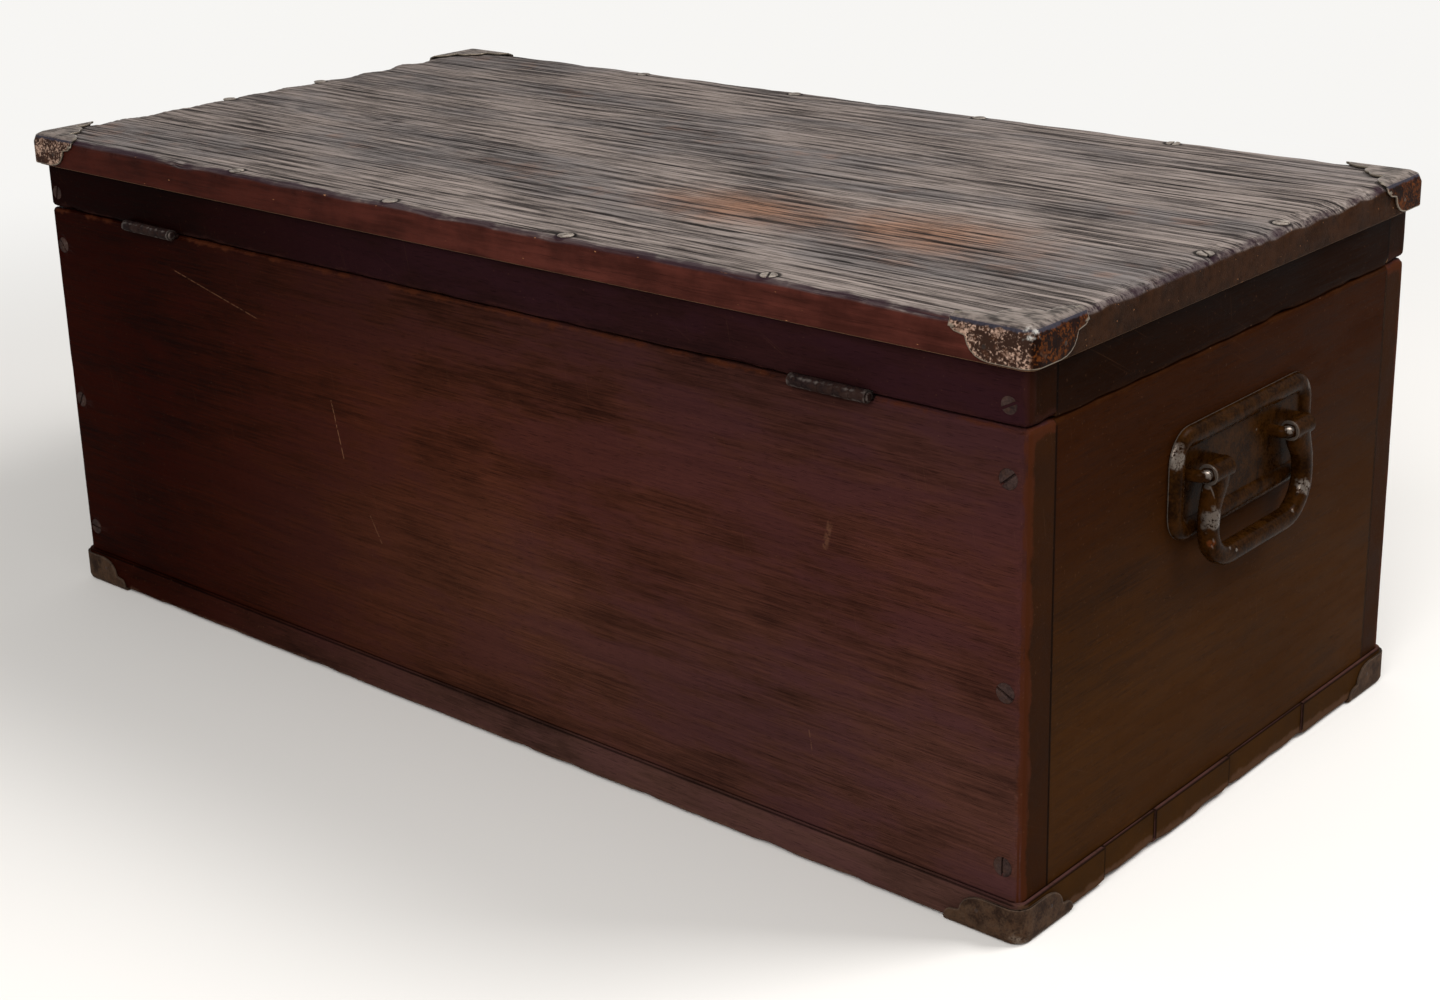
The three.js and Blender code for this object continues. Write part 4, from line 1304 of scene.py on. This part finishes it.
@dataclass
class Lid:
    """The lid's rim of four boards and its weathered top board."""

    joinery: Joinery
    corner: float = 6.0
    upper_round: float = 4.0
    lower_round: float = 1.2
    along_pitch: float = 7.0
    across_pitch: float = 1.7
    ridge_pitch: float = 9.0
    ridge_depth: float = 0.5
    knot: Tuple[float, float] = (242.0, 35.0)
    knot_size: Tuple[float, float] = (52.0, 15.0)
    end_reach: float = 7.0
    warm_spots: Tuple[Tuple[float, float, float], ...] = ((-123.0, 80.0, 50.0), (-224.0, 72.0, 52.0))

    def build(self) -> None:
        """Makes the rim, then the top."""
        for side, way in SIDES.items():
            node = f"lid_{side}_rim"
            wear = Wear(depth=0.4, chips=16, seed=31 - int(way))
            self.joinery.cut_board(node, RIM, long_lie(box_of(node), way, 0, 1), wear)
        for end in End:
            node = f"lid_{end.word}_rim"
            wear = Wear(chips=5, seed=35 + end.value)
            self.joinery.plank(node, RIM_END, end_lie(box_of(node), end, 0, 1), wear, even(0.01))
        self._top()

    def ridges(self, points: np.ndarray) -> np.ndarray:
        """Lays out the raised grain, which bends round a knot.

        Args:
            points: places on the top, one row each.

        Returns:
            Its height at each point, from 0 in a groove to 1 on a ridge.
        """
        flat = points * (1, 1, 0)
        wander = 5.0 * waves(flat, (520, 130, 1), 41) + 1.6 * waves(flat, (160, 46, 1), 42)
        lines = (points[:, 1] + wander) / self.ridge_pitch
        away = (points[:, :2] - self.knot) / self.knot_size
        from_knot = np.linalg.norm(away, axis=1)
        rings = from_knot * 2.4 + 0.25 * waves(flat, even(30.0), 43)
        inside = np.exp(-((from_knot / 1.25) ** 2))
        phase = lines * (1 - inside) + rings * inside
        coarse = (0.5 + 0.5 * np.cos(2 * math.pi * phase)) ** 0.8
        medium = 0.5 + 0.5 * np.cos(2 * math.pi * (points[:, 1] + 0.7 * wander) / (self.ridge_pitch * 0.41))
        fine = 0.5 + 0.5 * waves(flat, (90, 4.6, 1), 44, 16)
        return (0.28 * coarse + 0.3 * medium + 0.42 * fine).clip(0, 1)

    def _top(self) -> None:
        """Makes the top board, with its raised grain and its worn, wavy ends."""
        node = "lid_top_board"
        box = box_of(node)
        pitches = (self.along_pitch, self.across_pitch, self.joinery.pitch)
        points, faces = lattice(*(cuts(box[0][a], box[1][a], pitches[a]) for a in range(3)))
        upper = points[:, 2] > box[1][2] - self.upper_round
        points = rounded(points, box, self.corner, self.upper_round, self.lower_round)
        height = self.ridges(points)
        points[:, 2] -= np.where(upper, self.ridge_depth * (1 - height), 0)
        end_gap = np.minimum(points[:, 0] - box[0][0], box[1][0] - points[:, 0])
        erosion = (1.3 + 1.5 * waves(points * (0, 1, 0), (1, 34, 1), 45)).clip(0)
        drop = erosion * np.exp(-((end_gap / self.end_reach) ** 2)) * (points[:, 2] > box.mean(axis=0)[2])
        points[:, 2] -= drop
        points[:, 0] += -np.sign(points[:, 0]) * 0.4 * drop
        wear = Wear(
            reach=4.5, depth=0.8, wave=30.0, chips=60, chip_reach=5.0, chip_depth=1.4, sag=0.0, seed=46,
        )
        lie = Lie(box, opened(box, (0, 0, 1)), Grain.ALONG)
        piece = make(f"{node}_timber", wear.moved(points, lie.open_box), faces, 50.0)
        keep(piece, RIDGE, height)
        spots = tuple(Spot((x, y, box[1][2]), reach, 0.8) for x, y, reach in self.warm_spots)
        WeatheredTop(spots=spots).dress(piece, lie)
        self.joinery.fitter.replace(piece, node)


@dataclass
class Fasteners:
    """Slotted screws and small nails, each cut once and set many times."""

    fitter: Fitter
    sides: int = 28
    corner_head: float = 4.9
    corner_slot: float = 1.2
    corner_shank: Tuple[Tuple[float, float], ...] = ((0.3, -41.9), (2.3, -37.0), (2.3, -3.0))
    lid_head: float = 4.2
    lid_slot: float = 1.3
    lid_shank: Tuple[Tuple[float, float], ...] = ((1.6, -3.2), (1.7, -2.7))
    lid_proud: float = 0.1
    rim_proud: float = 0.2
    rim_level: float = 253.0
    rim_in: float = 9.5

    def screw_shape(self, radius: float, slot: float, shank: Sequence[Tuple[float, float]]) -> Piece:
        """Makes a countersunk screw with its face up at z = 0.

        Args:
            radius: of its head.
            slot: width of its slot.
            shank: radii and heights below the head, from the tip up.

        Returns:
            The screw, at the origin.
        """
        soft = radius * 0.08
        profile = [*shank, (radius - soft * 0.4, -soft * 1.6), (radius, -soft), (radius - soft, 0.0)]
        base = make("screw_shape", *turned(profile, self.sides))
        halves = (radius * 1.4, slot / 2, radius * 0.3)
        cutter = make("slot_shape", *lattice(*(np.array([-half, half]) for half in halves)))
        return combined(base, [cutter], "DIFFERENCE")

    def set_copies(
        self, shape: Piece, node: str, name: str, places: Sequence[Tuple[Point, Point, float]],
        finish: Iron, replace: bool = False,
    ) -> None:
        """Sets copies of a shape.

        Args:
            shape: the shape, with its face up.
            node: the node that carries the copies.
            name: the name of the joined copies.
            places: for each copy its place, the way it faces and its turn in radians.
            finish: their finish.
            replace: whether they stand for the node.
        """
        base = points_of(shape.data)
        faces = [list(face.vertices) for face in shape.data.polygons]
        points: List[np.ndarray] = []
        joined: List[List[int]] = []
        for place, way, turn in places:
            spin = Vector(way).to_track_quat("Z", "Y").to_matrix() @ Matrix.Rotation(turn, 3, "Z")
            start = sum(len(part) for part in points)
            points.append(base @ np.array(spin).T + np.array(place))
            joined += [[start + index for index in face] for face in faces]
        piece = make(name, np.concatenate(points), joined, 40.0)
        finish.dress(piece)
        if replace:
            self.fitter.replace(piece, node)
        else:
            self.fitter.attach(piece, node)

    def build(self) -> None:
        """Makes the corner screws and the lid's screws."""
        corner = self.screw_shape(self.corner_head, self.corner_slot, self.corner_shank)
        for node in [name for name in frame["nodes"] if name.startswith("screw_")]:
            box = box_of(node)
            way = SIDES["back" if "back" in node else "front"]
            turn = float(node[-1]) * 1.15 + (0.4 if "left" in node else 1.9)
            middle = box.mean(axis=0)
            places = [((middle[0], box[int(way > 0)][1], middle[2]), (0.0, way, 0.0), turn)]
            self.set_copies(corner, node, f"{node}_metal", places, SCREW_STEEL, True)
        bpy.data.objects.remove(corner)
        self._lid_screws()

    def _lid_screws(self) -> None:
        """Makes the screws in the top board and the rim."""
        head = self.screw_shape(self.lid_head, self.lid_slot, self.lid_shank)
        top = box_of("lid_top_board")[1][2] + self.lid_proud
        places = [((x, y, top), UP, 0.7 * index) for index, (x, y) in enumerate(TOP_SCREWS)]
        self.set_copies(head, "lid_top_board", "top_board_screws", places, WORN_SCREW)
        for side, way in SIDES.items():
            box = box_of(f"lid_{side}_rim")
            out = box[int(way > 0)][1] + way * self.rim_proud
            places = [
                ((x, out, self.rim_level), (0.0, way, 0.0), 0.9 + x)
                for x in (box[0][0] + self.rim_in, box[1][0] - self.rim_in)
            ]
            self.set_copies(head, f"lid_{side}_rim", f"{side}_rim_screws", places, SCREW_STEEL)
        bpy.data.objects.remove(head)


@dataclass
class CornerCaps:
    """Pressed caps on the corners of the lid and of the floor, and the nails that hold them."""

    fitter: Fitter
    fasteners: Fasteners
    bevel: float = 0.35
    bright_band: float = 0.8
    tip_reach: float = 7.5
    nail_radius: float = 1.9
    nail_in: float = 24.4
    nail_drop: float = 11.5
    nail_seat: float = 0.75
    face_nail_in: float = 15.0
    face_nail_seat: float = 0.9

    def build(self) -> None:
        """Makes the eight caps and their nails."""
        radius = self.nail_radius
        dome = [(0.9, -2.0), (radius, -0.2), (radius, 0.15)]
        dome += [(radius * 0.85, 0.55), (radius * 0.5, 0.8), (0.2, 0.88)]
        nail = make("nail_shape", *turned(dome, 14), 60.0)
        for level, finish, up in (("top", CAP_STEEL, 1), ("foot", FOOT_STEEL, 0)):
            boxes = np.array([box_of(f"{level}_cap_{corner}") for corner in ("front_left", "back_right")])
            whole = np.array([boxes[:, 0].min(axis=0), boxes[:, 1].max(axis=0)])
            rubbed = opened(whole, (0, 0, up), (0, 0, 1 - up))
            for corner in ("front_left", "front_right", "back_right", "back_left"):
                node = f"{level}_cap_{corner}"
                outer = whole[[int("right" in node), int("back" in node), up], [0, 1, 2]]
                piece = refined(node, self.bevel, self.bright_band)
                # A spot at the cap's outer corner: rubbed bright, and on the lid's caps a painted highlight.
                finish.dress(piece, rubbed, (Spot(floats(outer), self.tip_reach, 0.9, finish.tip),))
                self.fitter.replace(piece, node)
                self._nails(nail, node, outer)
        bpy.data.objects.remove(nail)

    def _nails(self, nail: Piece, node: str, outer: np.ndarray) -> None:
        """Sets a nail in each leaf of a cap.

        Args:
            nail: the nail, with its head up.
            node: the cap's node.
            outer: the cap's outermost corner.
        """
        on_lid = "top" in node
        side = np.sign(outer) * (1, 1, 0)
        drop = (0.0, 0.0, self.nail_drop if on_lid else -self.nail_drop)
        places = []
        for axis in (1, 0):
            way = side * np.eye(3)[axis]
            inset = side * self.nail_in + way * (self.nail_seat - self.nail_in) + drop
            places.append((floats(outer - inset), floats(way), 0.0))
        if on_lid:
            inset = side * self.face_nail_in + (0.0, 0.0, self.face_nail_seat)
            places.append((floats(outer - inset), UP, 0.0))
        self.fasteners.set_copies(nail, node, f"{node}_nails", places, NAIL_STEEL)


@dataclass
class Hinges:
    """Two butt hinges with countersunk screws in their leaves."""

    fitter: Fitter
    fasteners: Fasteners
    bevel: float = 0.25
    leaf_gap: float = 0.3
    screws: Tuple[Tuple[float, float], ...] = ((-15.0, 9.5), (0.0, 16.5), (15.0, 9.5))

    def build(self) -> None:
        """Makes the leaves, pins and screws."""
        head = self.fasteners.screw_shape(2.7, 0.7, [(1.0, -2.0), (1.1, -1.7)])
        for end in End:
            for part in ("lower_leaf", "upper_leaf", "pin"):
                node = f"{end.word}_hinge_{part}"
                piece = refined(node, self.bevel)
                HINGE_STEEL.dress(piece, box_of(node))
                self.fitter.replace(piece, node)
            x, y, z = box_of(f"{end.word}_hinge_pin").mean(axis=0)
            for part, way in (("lower_leaf", 1.0), ("upper_leaf", -1.0)):
                node = f"{end.word}_hinge_{part}"
                level, facing = z - way * self.leaf_gap, (0.0, 0.0, way)
                places = [((x + step, y - inset, level), facing, step) for step, inset in self.screws]
                self.fasteners.set_copies(head, node, f"{node}_screws", places, SCREW_STEEL)
        bpy.data.objects.remove(head)


@dataclass
class DropHandle:
    """One drop handle: a pressed plate, two staples and a bail.

    It is set out in its own frame: X out of the wall, Z up from the bail's axis.
    """

    fitter: Fitter
    end: End
    rim_width: float = 11.0
    rim_height: float = 4.4
    sheet: float = 1.5
    plate_corner: float = 16.0
    seat: float = 0.3
    spacing: float = 79.0
    knuckle_length: float = 17.5
    knuckle_radius: float = 5.3
    knuckle_soft: float = 0.5
    bail_width: float = 102.0
    bail_drop: float = 50.0
    bar: float = 10.2
    thick: float = 9.8
    squareness: float = 2.5
    bail_corner: float = 24.0
    waist_share: float = 0.2
    flare_share: float = 0.5
    rod: float = 3.0
    rod_bend: float = 3.5
    clear: float = 0.3
    wall: float = 22.0
    bore_past: float = 4.0
    edge_band: float = 0.8
    corner_steps: int = 8
    rim_steps: int = 14
    bar_steps: int = 12
    rod_sides: int = 16
    bar_sides: int = 24
    knuckle_sides: int = 36

    def __post_init__(self) -> None:
        """Finds the bail's axis in the frame."""
        joint = next(j for j in frame["joints"] if j["name"] == f"{self.end.word}_bail_hinge")
        out, forward, level = (value * PER_METRE for value in joint["pos_m"])
        self.wall_face = float(np.abs(box_of(f"{self.end.word}_end_board")[:, 0]).max())
        self.origin = np.array([self.end.value * self.wall_face, forward, level])
        self.stand_off = abs(out) - self.wall_face

    def in_chest(self, points: np.ndarray) -> np.ndarray:
        """Carries points from the handle's frame into the chest's."""
        return points * (self.end.value, self.end.value, 1) + self.origin

    def spot(
        self, x: float, y: float, z: float, reach: float, strength: float, colour: Optional[Colour] = None,
    ) -> Spot:
        """A rubbed or rusted place, given in the handle's frame."""
        return Spot(floats(self.in_chest(np.array([x, y, z]))), reach, strength, colour)

    def build(self) -> None:
        """Makes the plate, the staples and the bail."""
        self._plate(f"{self.end.word}_handle_plate")
        for index, middle in ((1, -self.spacing / 2), (2, self.spacing / 2)):
            node = f"{self.end.word}_staple_{index}"
            rings = [self.in_chest(ring) for ring in self._staple(middle)]
            staple = make(f"{node}_metal", *loft(rings), 50.0)
            # Painted highlight on the staple's bend, where the rod catches the light.
            bend = self.spot(self.stand_off + 1.5, middle - 11.0, 2.0, 3.4, 0.8)
            HANDLE_PAINT.dress(staple, spots=(bend,))
            self.fitter.replace(staple, node)
        self._bail(f"{self.end.word}_bail")

    def _ring(self, box: np.ndarray, inset: float, out: float) -> np.ndarray:
        """Lays a ring with round corners inside the plate's outline.

        Args:
            box: the plate's box.
            inset: how far inside the outline the ring lies.
            out: how far from the wall it lies.

        Returns:
            Its points, in the chest's frame.
        """
        radius = self.plate_corner - inset
        half = (box[1] - box[0])[1:] / 2 - inset - radius
        middle = box.mean(axis=0)[2] - self.origin[2]
        points = []
        for quarter, (y_sign, z_sign) in enumerate(((1, 1), (-1, 1), (-1, -1), (1, -1))):
            for step in range(self.corner_steps + 1):
                turn = (quarter + step / self.corner_steps) * math.pi / 2
                y = y_sign * half[0] + radius * math.cos(turn)
                z = z_sign * half[1] + radius * math.sin(turn)
                points.append((out, y, z + middle))
        return self.in_chest(np.array(points))

    def _arch(self, box: np.ndarray, inset: float, height: float, level: float) -> List[np.ndarray]:
        """Lays rings over the plate's rim, from its foot at the outline to the panel.

        Args:
            box: the plate's box.
            inset: how far under the rim's outer face they lie.
            height: the arch's height.
            level: the height at which it ends.

        Returns:
            The rings.
        """
        half = self.rim_width / 2 - inset
        stop = math.pi - math.asin(level / height)
        turns = [step / self.rim_steps * stop for step in range(self.rim_steps + 1)]
        return [
            self._ring(box, self.rim_width / 2 - half * math.cos(turn), self.seat + height * math.sin(turn))
            for turn in turns
        ]

    def _plate(self, node: str) -> None:
        """Makes the pressed plate, a hollow rim round a flat panel, from the wall's side round to the front.

        Args:
            node: its node.
        """
        box = box_of(node)
        inside = self._arch(box, self.sheet, self.rim_height - self.sheet, 0.0)[::-1]
        rings = [*inside, *self._arch(box, 0.0, self.rim_height, self.sheet)]
        piece = make(f"{node}_metal", *loft(rings), 50.0)
        keep(piece, EDGE, np.repeat([float(row == len(inside)) for row in range(len(rings))], len(rings[0])))
        wide, high = (box[1][1] - box[0][1]) / 2, box[1][2] - self.origin[2]
        # Rubbed spots where the rim catches the light: partly worn metal, partly painted highlight.
        HANDLE_PAINT.dress(piece, spots=(
            self.spot(2.6, 2.5 - wide, high - 13.0, 6.0, 0.75),
            self.spot(3.4, 4.0 - wide, high - 7.0, 3.6, 0.4),
            self.spot(4.0, wide - 5.0, high - 7.0, 4.0, 0.3),
            self.spot(1.8, 13.0, high - 19.0, 0.9, 0.8),
        ))
        self.fitter.replace(piece, node)

    def _staple(self, y: float) -> List[np.ndarray]:
        """Lays rings along a staple, from one leg round to the other.

        Args:
            y: the staple's middle.

        Returns:
            The rings, in the handle's frame.
        """
        reach = self.knuckle_length / 2 + self.clear + self.rod_bend
        bend_start = self.stand_off - self.rod_bend
        stations = [(self.clear - self.wall, -reach, 0.0)]
        for side in (-1, 1):
            for step in range(self.corner_steps + 1):
                share = step / self.corner_steps
                turn = (share if side < 0 else 1 - share) * math.pi / 2
                x = bend_start + self.rod_bend * math.sin(turn)
                along = side * (reach - self.rod_bend + self.rod_bend * math.cos(turn))
                stations.append((x, along, turn if side < 0 else math.pi - turn))
        stations.append((self.clear - self.wall, reach, math.pi))
        round_turn = np.arange(self.rod_sides) / self.rod_sides * 2 * math.pi
        rings = []
        for x, along, heading in stations:
            across = np.array([-math.sin(heading), math.cos(heading), 0.0])
            ring = np.outer(np.cos(round_turn) * self.rod, across)
            ring[:, 2] = np.sin(round_turn) * self.rod
            rings.append(ring + (x, y + along, 0.0))
        return rings

    def _bar(self) -> List[np.ndarray]:
        """Lays rings along the bail's bar, from one knuckle round to the other, narrower below each.

        Returns:
            The rings, in the handle's frame.
        """
        start, arm = self.spacing / 2, (self.bail_width - self.bar) / 2
        bend = self.bail_corner - self.bar / 2
        share = np.linspace(0, 1, self.bar_steps + 1)
        swing = share**2 * (3 - 2 * share)
        fall = -self.bail_drop * (3 * self.waist_share * share * (1 - share) + self.flare_share * share**3)
        turn = share * math.pi / 2
        y = np.concatenate([start + (arm - start) * swing, arm - bend + bend * np.cos(turn)])
        z = np.concatenate([fall, self.bail_corner - self.bail_drop - bend * np.sin(turn)])
        top = self.knuckle_length / 2 - self.knuckle_soft
        half = np.concatenate([top + (self.bar / 2 - top) * swing, np.full(len(turn), self.bar / 2)])
        path = np.stack([np.concatenate([y, -y[::-1]]), np.concatenate([z, z[::-1]])], axis=1)
        run = np.gradient(path, axis=0)
        side = np.stack([-run[:, 1], run[:, 0]], axis=1) / np.linalg.norm(run, axis=1)[:, None]
        around = np.arange(self.bar_sides) / self.bar_sides * 2 * math.pi
        circle = (np.cos(around), np.sin(around))
        bulge = [np.sign(wave) * np.abs(wave) ** (2 / self.squareness) for wave in circle]
        rings = []
        for place, across, width in zip(path, side, np.concatenate([half, half[::-1]])):
            flat = place + np.outer(bulge[1] * width, across)
            rings.append(np.column_stack([self.stand_off + bulge[0] * self.thick / 2, flat]))
        return rings

    def _knuckles(self, radius: float, soft: float, past: float) -> List[Piece]:
        """Makes two round bars on the bail's axis.

        Args:
            radius: their radius.
            soft: how far their ends are rounded.
            past: how far they reach past the knuckles.

        Returns:
            The bars.
        """
        reach = self.knuckle_length / 2 + past
        profile = [(radius - soft, -reach), (radius, soft - reach), (radius, soft + self.edge_band - reach)]
        profile += [(size, -level) for size, level in profile[::-1]]
        bars = []
        for sign in (-1, 1):
            points, faces = turned(profile if soft else [profile[1], profile[-2]], self.knuckle_sides)
            points = points[:, [0, 2, 1]] * (1, 1, -1) + (self.stand_off, sign * self.spacing / 2, 0)
            bars.append(make("bar_shape", self.in_chest(points), faces))
        return bars

    def _bail(self, node: str) -> None:
        """Makes the bail: a bar bent for the hand, with a bored knuckle on each arm.

        Args:
            node: its node.
        """
        piece = make(f"{node}_metal", *loft([self.in_chest(ring) for ring in self._bar()]))
        fix_normals(piece)
        piece = combined(piece, self._knuckles(self.knuckle_radius, self.knuckle_soft, 0.0), "UNION")
        piece = combined(piece, self._knuckles(self.rod + self.clear, 0.0, self.bore_past), "DIFFERENCE")
        own = (points_of(piece.data) - self.origin) * (self.end.value, self.end.value, 1)
        from_end = self.knuckle_length / 2 - np.abs(np.abs(own[:, 1]) - self.spacing / 2)
        radial = np.hypot(own[:, 0] - self.stand_off, own[:, 2])
        on_knuckle = (radial > self.knuckle_radius - 0.7) & (from_end > -0.01)
        keep(piece, EDGE, on_knuckle * (1 - from_end / self.edge_band).clip(0, 1))
        front = self.stand_off + self.thick * 0.4
        # Spots on the arms: partly worn metal, partly painted highlight and sheen where the arms catch the light;
        # the orange one is rust.
        HANDLE_PAINT.dress(piece, spots=(
            self.spot(front, -48.0, -21.0, 7.0, 0.5),
            self.spot(front, -49.0, -33.5, 3.0, 0.4, (0.14, 0.035, 0.01)),
            self.spot(front, 42.0, -31.0, 5.0, 0.7),
            self.spot(front + 1.0, -26.0, -43.0, 1.2, 0.9),
        ))
        self.fitter.replace(piece, node)


def fix_normals(piece: Piece) -> None:
    """Turns every face of a closed piece outwards.

    Args:
        piece: the piece.
    """
    shape = bmesh.new()
    shape.from_mesh(piece.data)
    bmesh.ops.recalc_face_normals(shape, faces=shape.faces)
    shape.to_mesh(piece.data)
    shape.free()


@dataclass
class LinkLock:
    """The lock in the front board: its case, bolt and link plate, with screws."""

    fitter: Fitter
    fasteners: Fasteners
    bevel: float = 0.2
    screw_out: float = 37.0
    proud: float = 0.05

    def build(self) -> None:
        """Makes the three pieces and their screws."""
        for node in ("lock_case", "lock_bolt", "lock_link_plate"):
            piece = refined(node, self.bevel)
            LOCK_BRASS.dress(piece, box_of(node))
            self.fitter.replace(piece, node)
        head = self.fasteners.screw_shape(2.4, 0.6, [(0.9, -1.4), (1.0, -1.2)])
        case, rim = box_of("lock_case"), box_of("lid_front_rim")
        middle = case.mean(axis=0)[1]
        for node, face, way in (("lock_case", case[1][2], 1.0), ("lock_link_plate", rim[0][2], -1.0)):
            places = [
                ((side * self.screw_out, middle, face + way * self.proud), (0.0, 0.0, way), 0.6 * side)
                for side in (-1.0, 1.0)
            ]
            self.fasteners.set_copies(head, node, f"{node}_screws", places, LOCK_BRASS)
        bpy.data.objects.remove(head)


@dataclass
class Till:
    """The sliding till and the runners that it slides on."""

    joinery: Joinery

    def build(self) -> None:
        """Makes the runners and the boards of the till."""
        for node in ("till_runner_front", "till_front", "till_runner_back", "till_back"):
            self._board(node, len(node))
        for end in End:
            node = f"till_{end.word}_end"
            self._board(node, len(node), Grain.DEEP)
        self._board("till_floor", 55)

    def _board(self, node: str, seed: int, grain: Grain = Grain.ALONG) -> None:
        """Makes one board.

        Args:
            node: its node.
            seed: picks its chips.
            grain: the way of its grain. A board across the chest is joined at both its ends.
        """
        box = box_of(node)
        joined = int(grain is Grain.DEEP)
        lie = Lie(box, opened(box, (0, joined, 0), (0, joined, 0)), grain)
        self.joinery.plank(node, BARE, lie, Wear(chips=4, seed=seed))


@dataclass
class Studio:
    """The camera, the lamps, the pale floor and the white surroundings."""

    yaw: float = 221.412
    pitch: float = 18.04
    roll: float = -1.503
    place: Point = (-0.8559, 0.9381, 0.5542)
    focal_pixels: float = 2293.5
    optical_row: float = 400.0
    picture: Tuple[float, float] = (1440.0, 1000.0)
    sensor: float = 36.0
    lamps: Tuple[Tuple[str, Point, float, float], ...] = (
        ("key", (-0.8, 1.7, 1.5), 1.2, 36.0), ("side", (-1.4, -1.0, 2.0), 0.9, 46.0),
    )
    lit_place: Point = (0.0, 0.0, 0.15)
    floor_half: float = 15000.0
    floor_drop: float = 0.1
    floor_colour: Colour = (0.8, 0.775, 0.74)
    far_colour: Colour = (0.93, 0.92, 0.9)
    far_reach: Tuple[float, float] = (450.0, 1500.0)
    ambient: float = 0.42

    def build(self) -> None:
        """Sets up everything round the chest."""
        self._camera()
        for lamp in self.lamps:
            self._lamp(*lamp)
        self._floor()
        self._world()
        bpy.context.scene.view_settings.view_transform = "Standard"

    def _camera(self) -> None:
        """Places the camera where the picture was taken."""
        data = bpy.data.cameras.new("camera")
        width, height = self.picture
        data.sensor_width = self.sensor
        data.lens = self.focal_pixels * self.sensor / width
        data.shift_y = (self.optical_row - height / 2) / width
        data.clip_end = 100.0
        camera = bpy.data.objects.new("camera", data)
        turn = Matrix.Rotation(math.radians(self.yaw), 4, "Z")
        turn = turn @ Matrix.Rotation(math.radians(90 - self.pitch), 4, "X")
        turn = turn @ Matrix.Rotation(math.radians(self.roll), 4, "Z")
        camera.matrix_world = Matrix.Translation(self.place) @ turn
        bpy.context.scene.collection.objects.link(camera)
        bpy.context.scene.camera = camera

    def _lamp(self, name: str, place: Point, size: float, watts: float) -> None:
        """Adds a square soft light that faces the chest.

        Args:
            name: its name.
            place: where it is, in metres.
            size: the length of its sides, in metres.
            watts: its power.
        """
        data = bpy.data.lights.new(name, "AREA")
        data.size = size
        data.energy = watts
        lamp = bpy.data.objects.new(name, data)
        lamp.location = place
        lamp.rotation_euler = (Vector(self.lit_place) - Vector(place)).to_track_quat("-Z", "Y").to_euler()
        bpy.context.scene.collection.objects.link(lamp)

    def _floor(self) -> None:
        """Adds the floor, which keeps the chest's shadow and fades to white far from it."""
        corners = np.array([(-1, -1), (1, -1), (1, 1), (-1, 1)]) * self.floor_half
        floor = make("floor", np.column_stack([corners, np.full(4, -self.floor_drop)]), [(0, 1, 2, 3)])
        shader = Shader(bpy.data.materials.new("floor_finish"))
        far = shader.rise(shader.place().length(), *self.far_reach)
        seen = shader.node("ShaderNodeLightPath", output="Is Camera Ray")
        matt = shader.node("ShaderNodeBsdfDiffuse", None, {"Color": self.floor_colour})
        white = shader.node("ShaderNodeEmission", None, {"Color": self.far_colour, "Strength": 1.0})
        mixed = shader.node("ShaderNodeMixShader", None, {0: far * seen, 1: matt, 2: white})
        shader.tree.links.new(mixed.output, shader.exit)
        give(floor, shader.owner)

    def _world(self) -> None:
        """White where it is seen or mirrored, and plainer as a light."""
        world = bpy.data.worlds.new("surroundings")
        bpy.context.scene.world = world
        shader = Shader(world)
        rays = shader.node("ShaderNodeLightPath", output="Is Camera Ray")
        for kind in ("Is Glossy Ray", "Is Transmission Ray"):
            rays = rays.most(shader.node("ShaderNodeLightPath", output=kind))
        light = shader.node("ShaderNodeBackground", None, {"Color": WHITE, "Strength": self.ambient})
        white = shader.node("ShaderNodeBackground", None, {"Color": WHITE, "Strength": 1.0})
        mixed = shader.node("ShaderNodeMixShader", None, {0: rays, 1: light, 2: white})
        shader.tree.links.new(mixed.output, shader.exit)


def main() -> None:
    """Builds the studio and the chest, one sub-assembly after another."""
    logging.basicConfig(level=logging.INFO, format="%(name)s: %(message)s")
    Studio().build()
    fitter = Fitter()
    joinery = Joinery(fitter)
    fasteners = Fasteners(fitter)
    parts = [
        Carcase(joinery), Lid(joinery), fasteners, CornerCaps(fitter, fasteners),
        Hinges(fitter, fasteners), *(DropHandle(fitter, end) for end in End),
        LinkLock(fitter, fasteners), Till(joinery),
    ]
    for part in parts:
        part.build()
        LOG.info("%s is built, %d pieces so far", type(part).__name__, fitter.made)


if __name__ == "__main__":
    main()
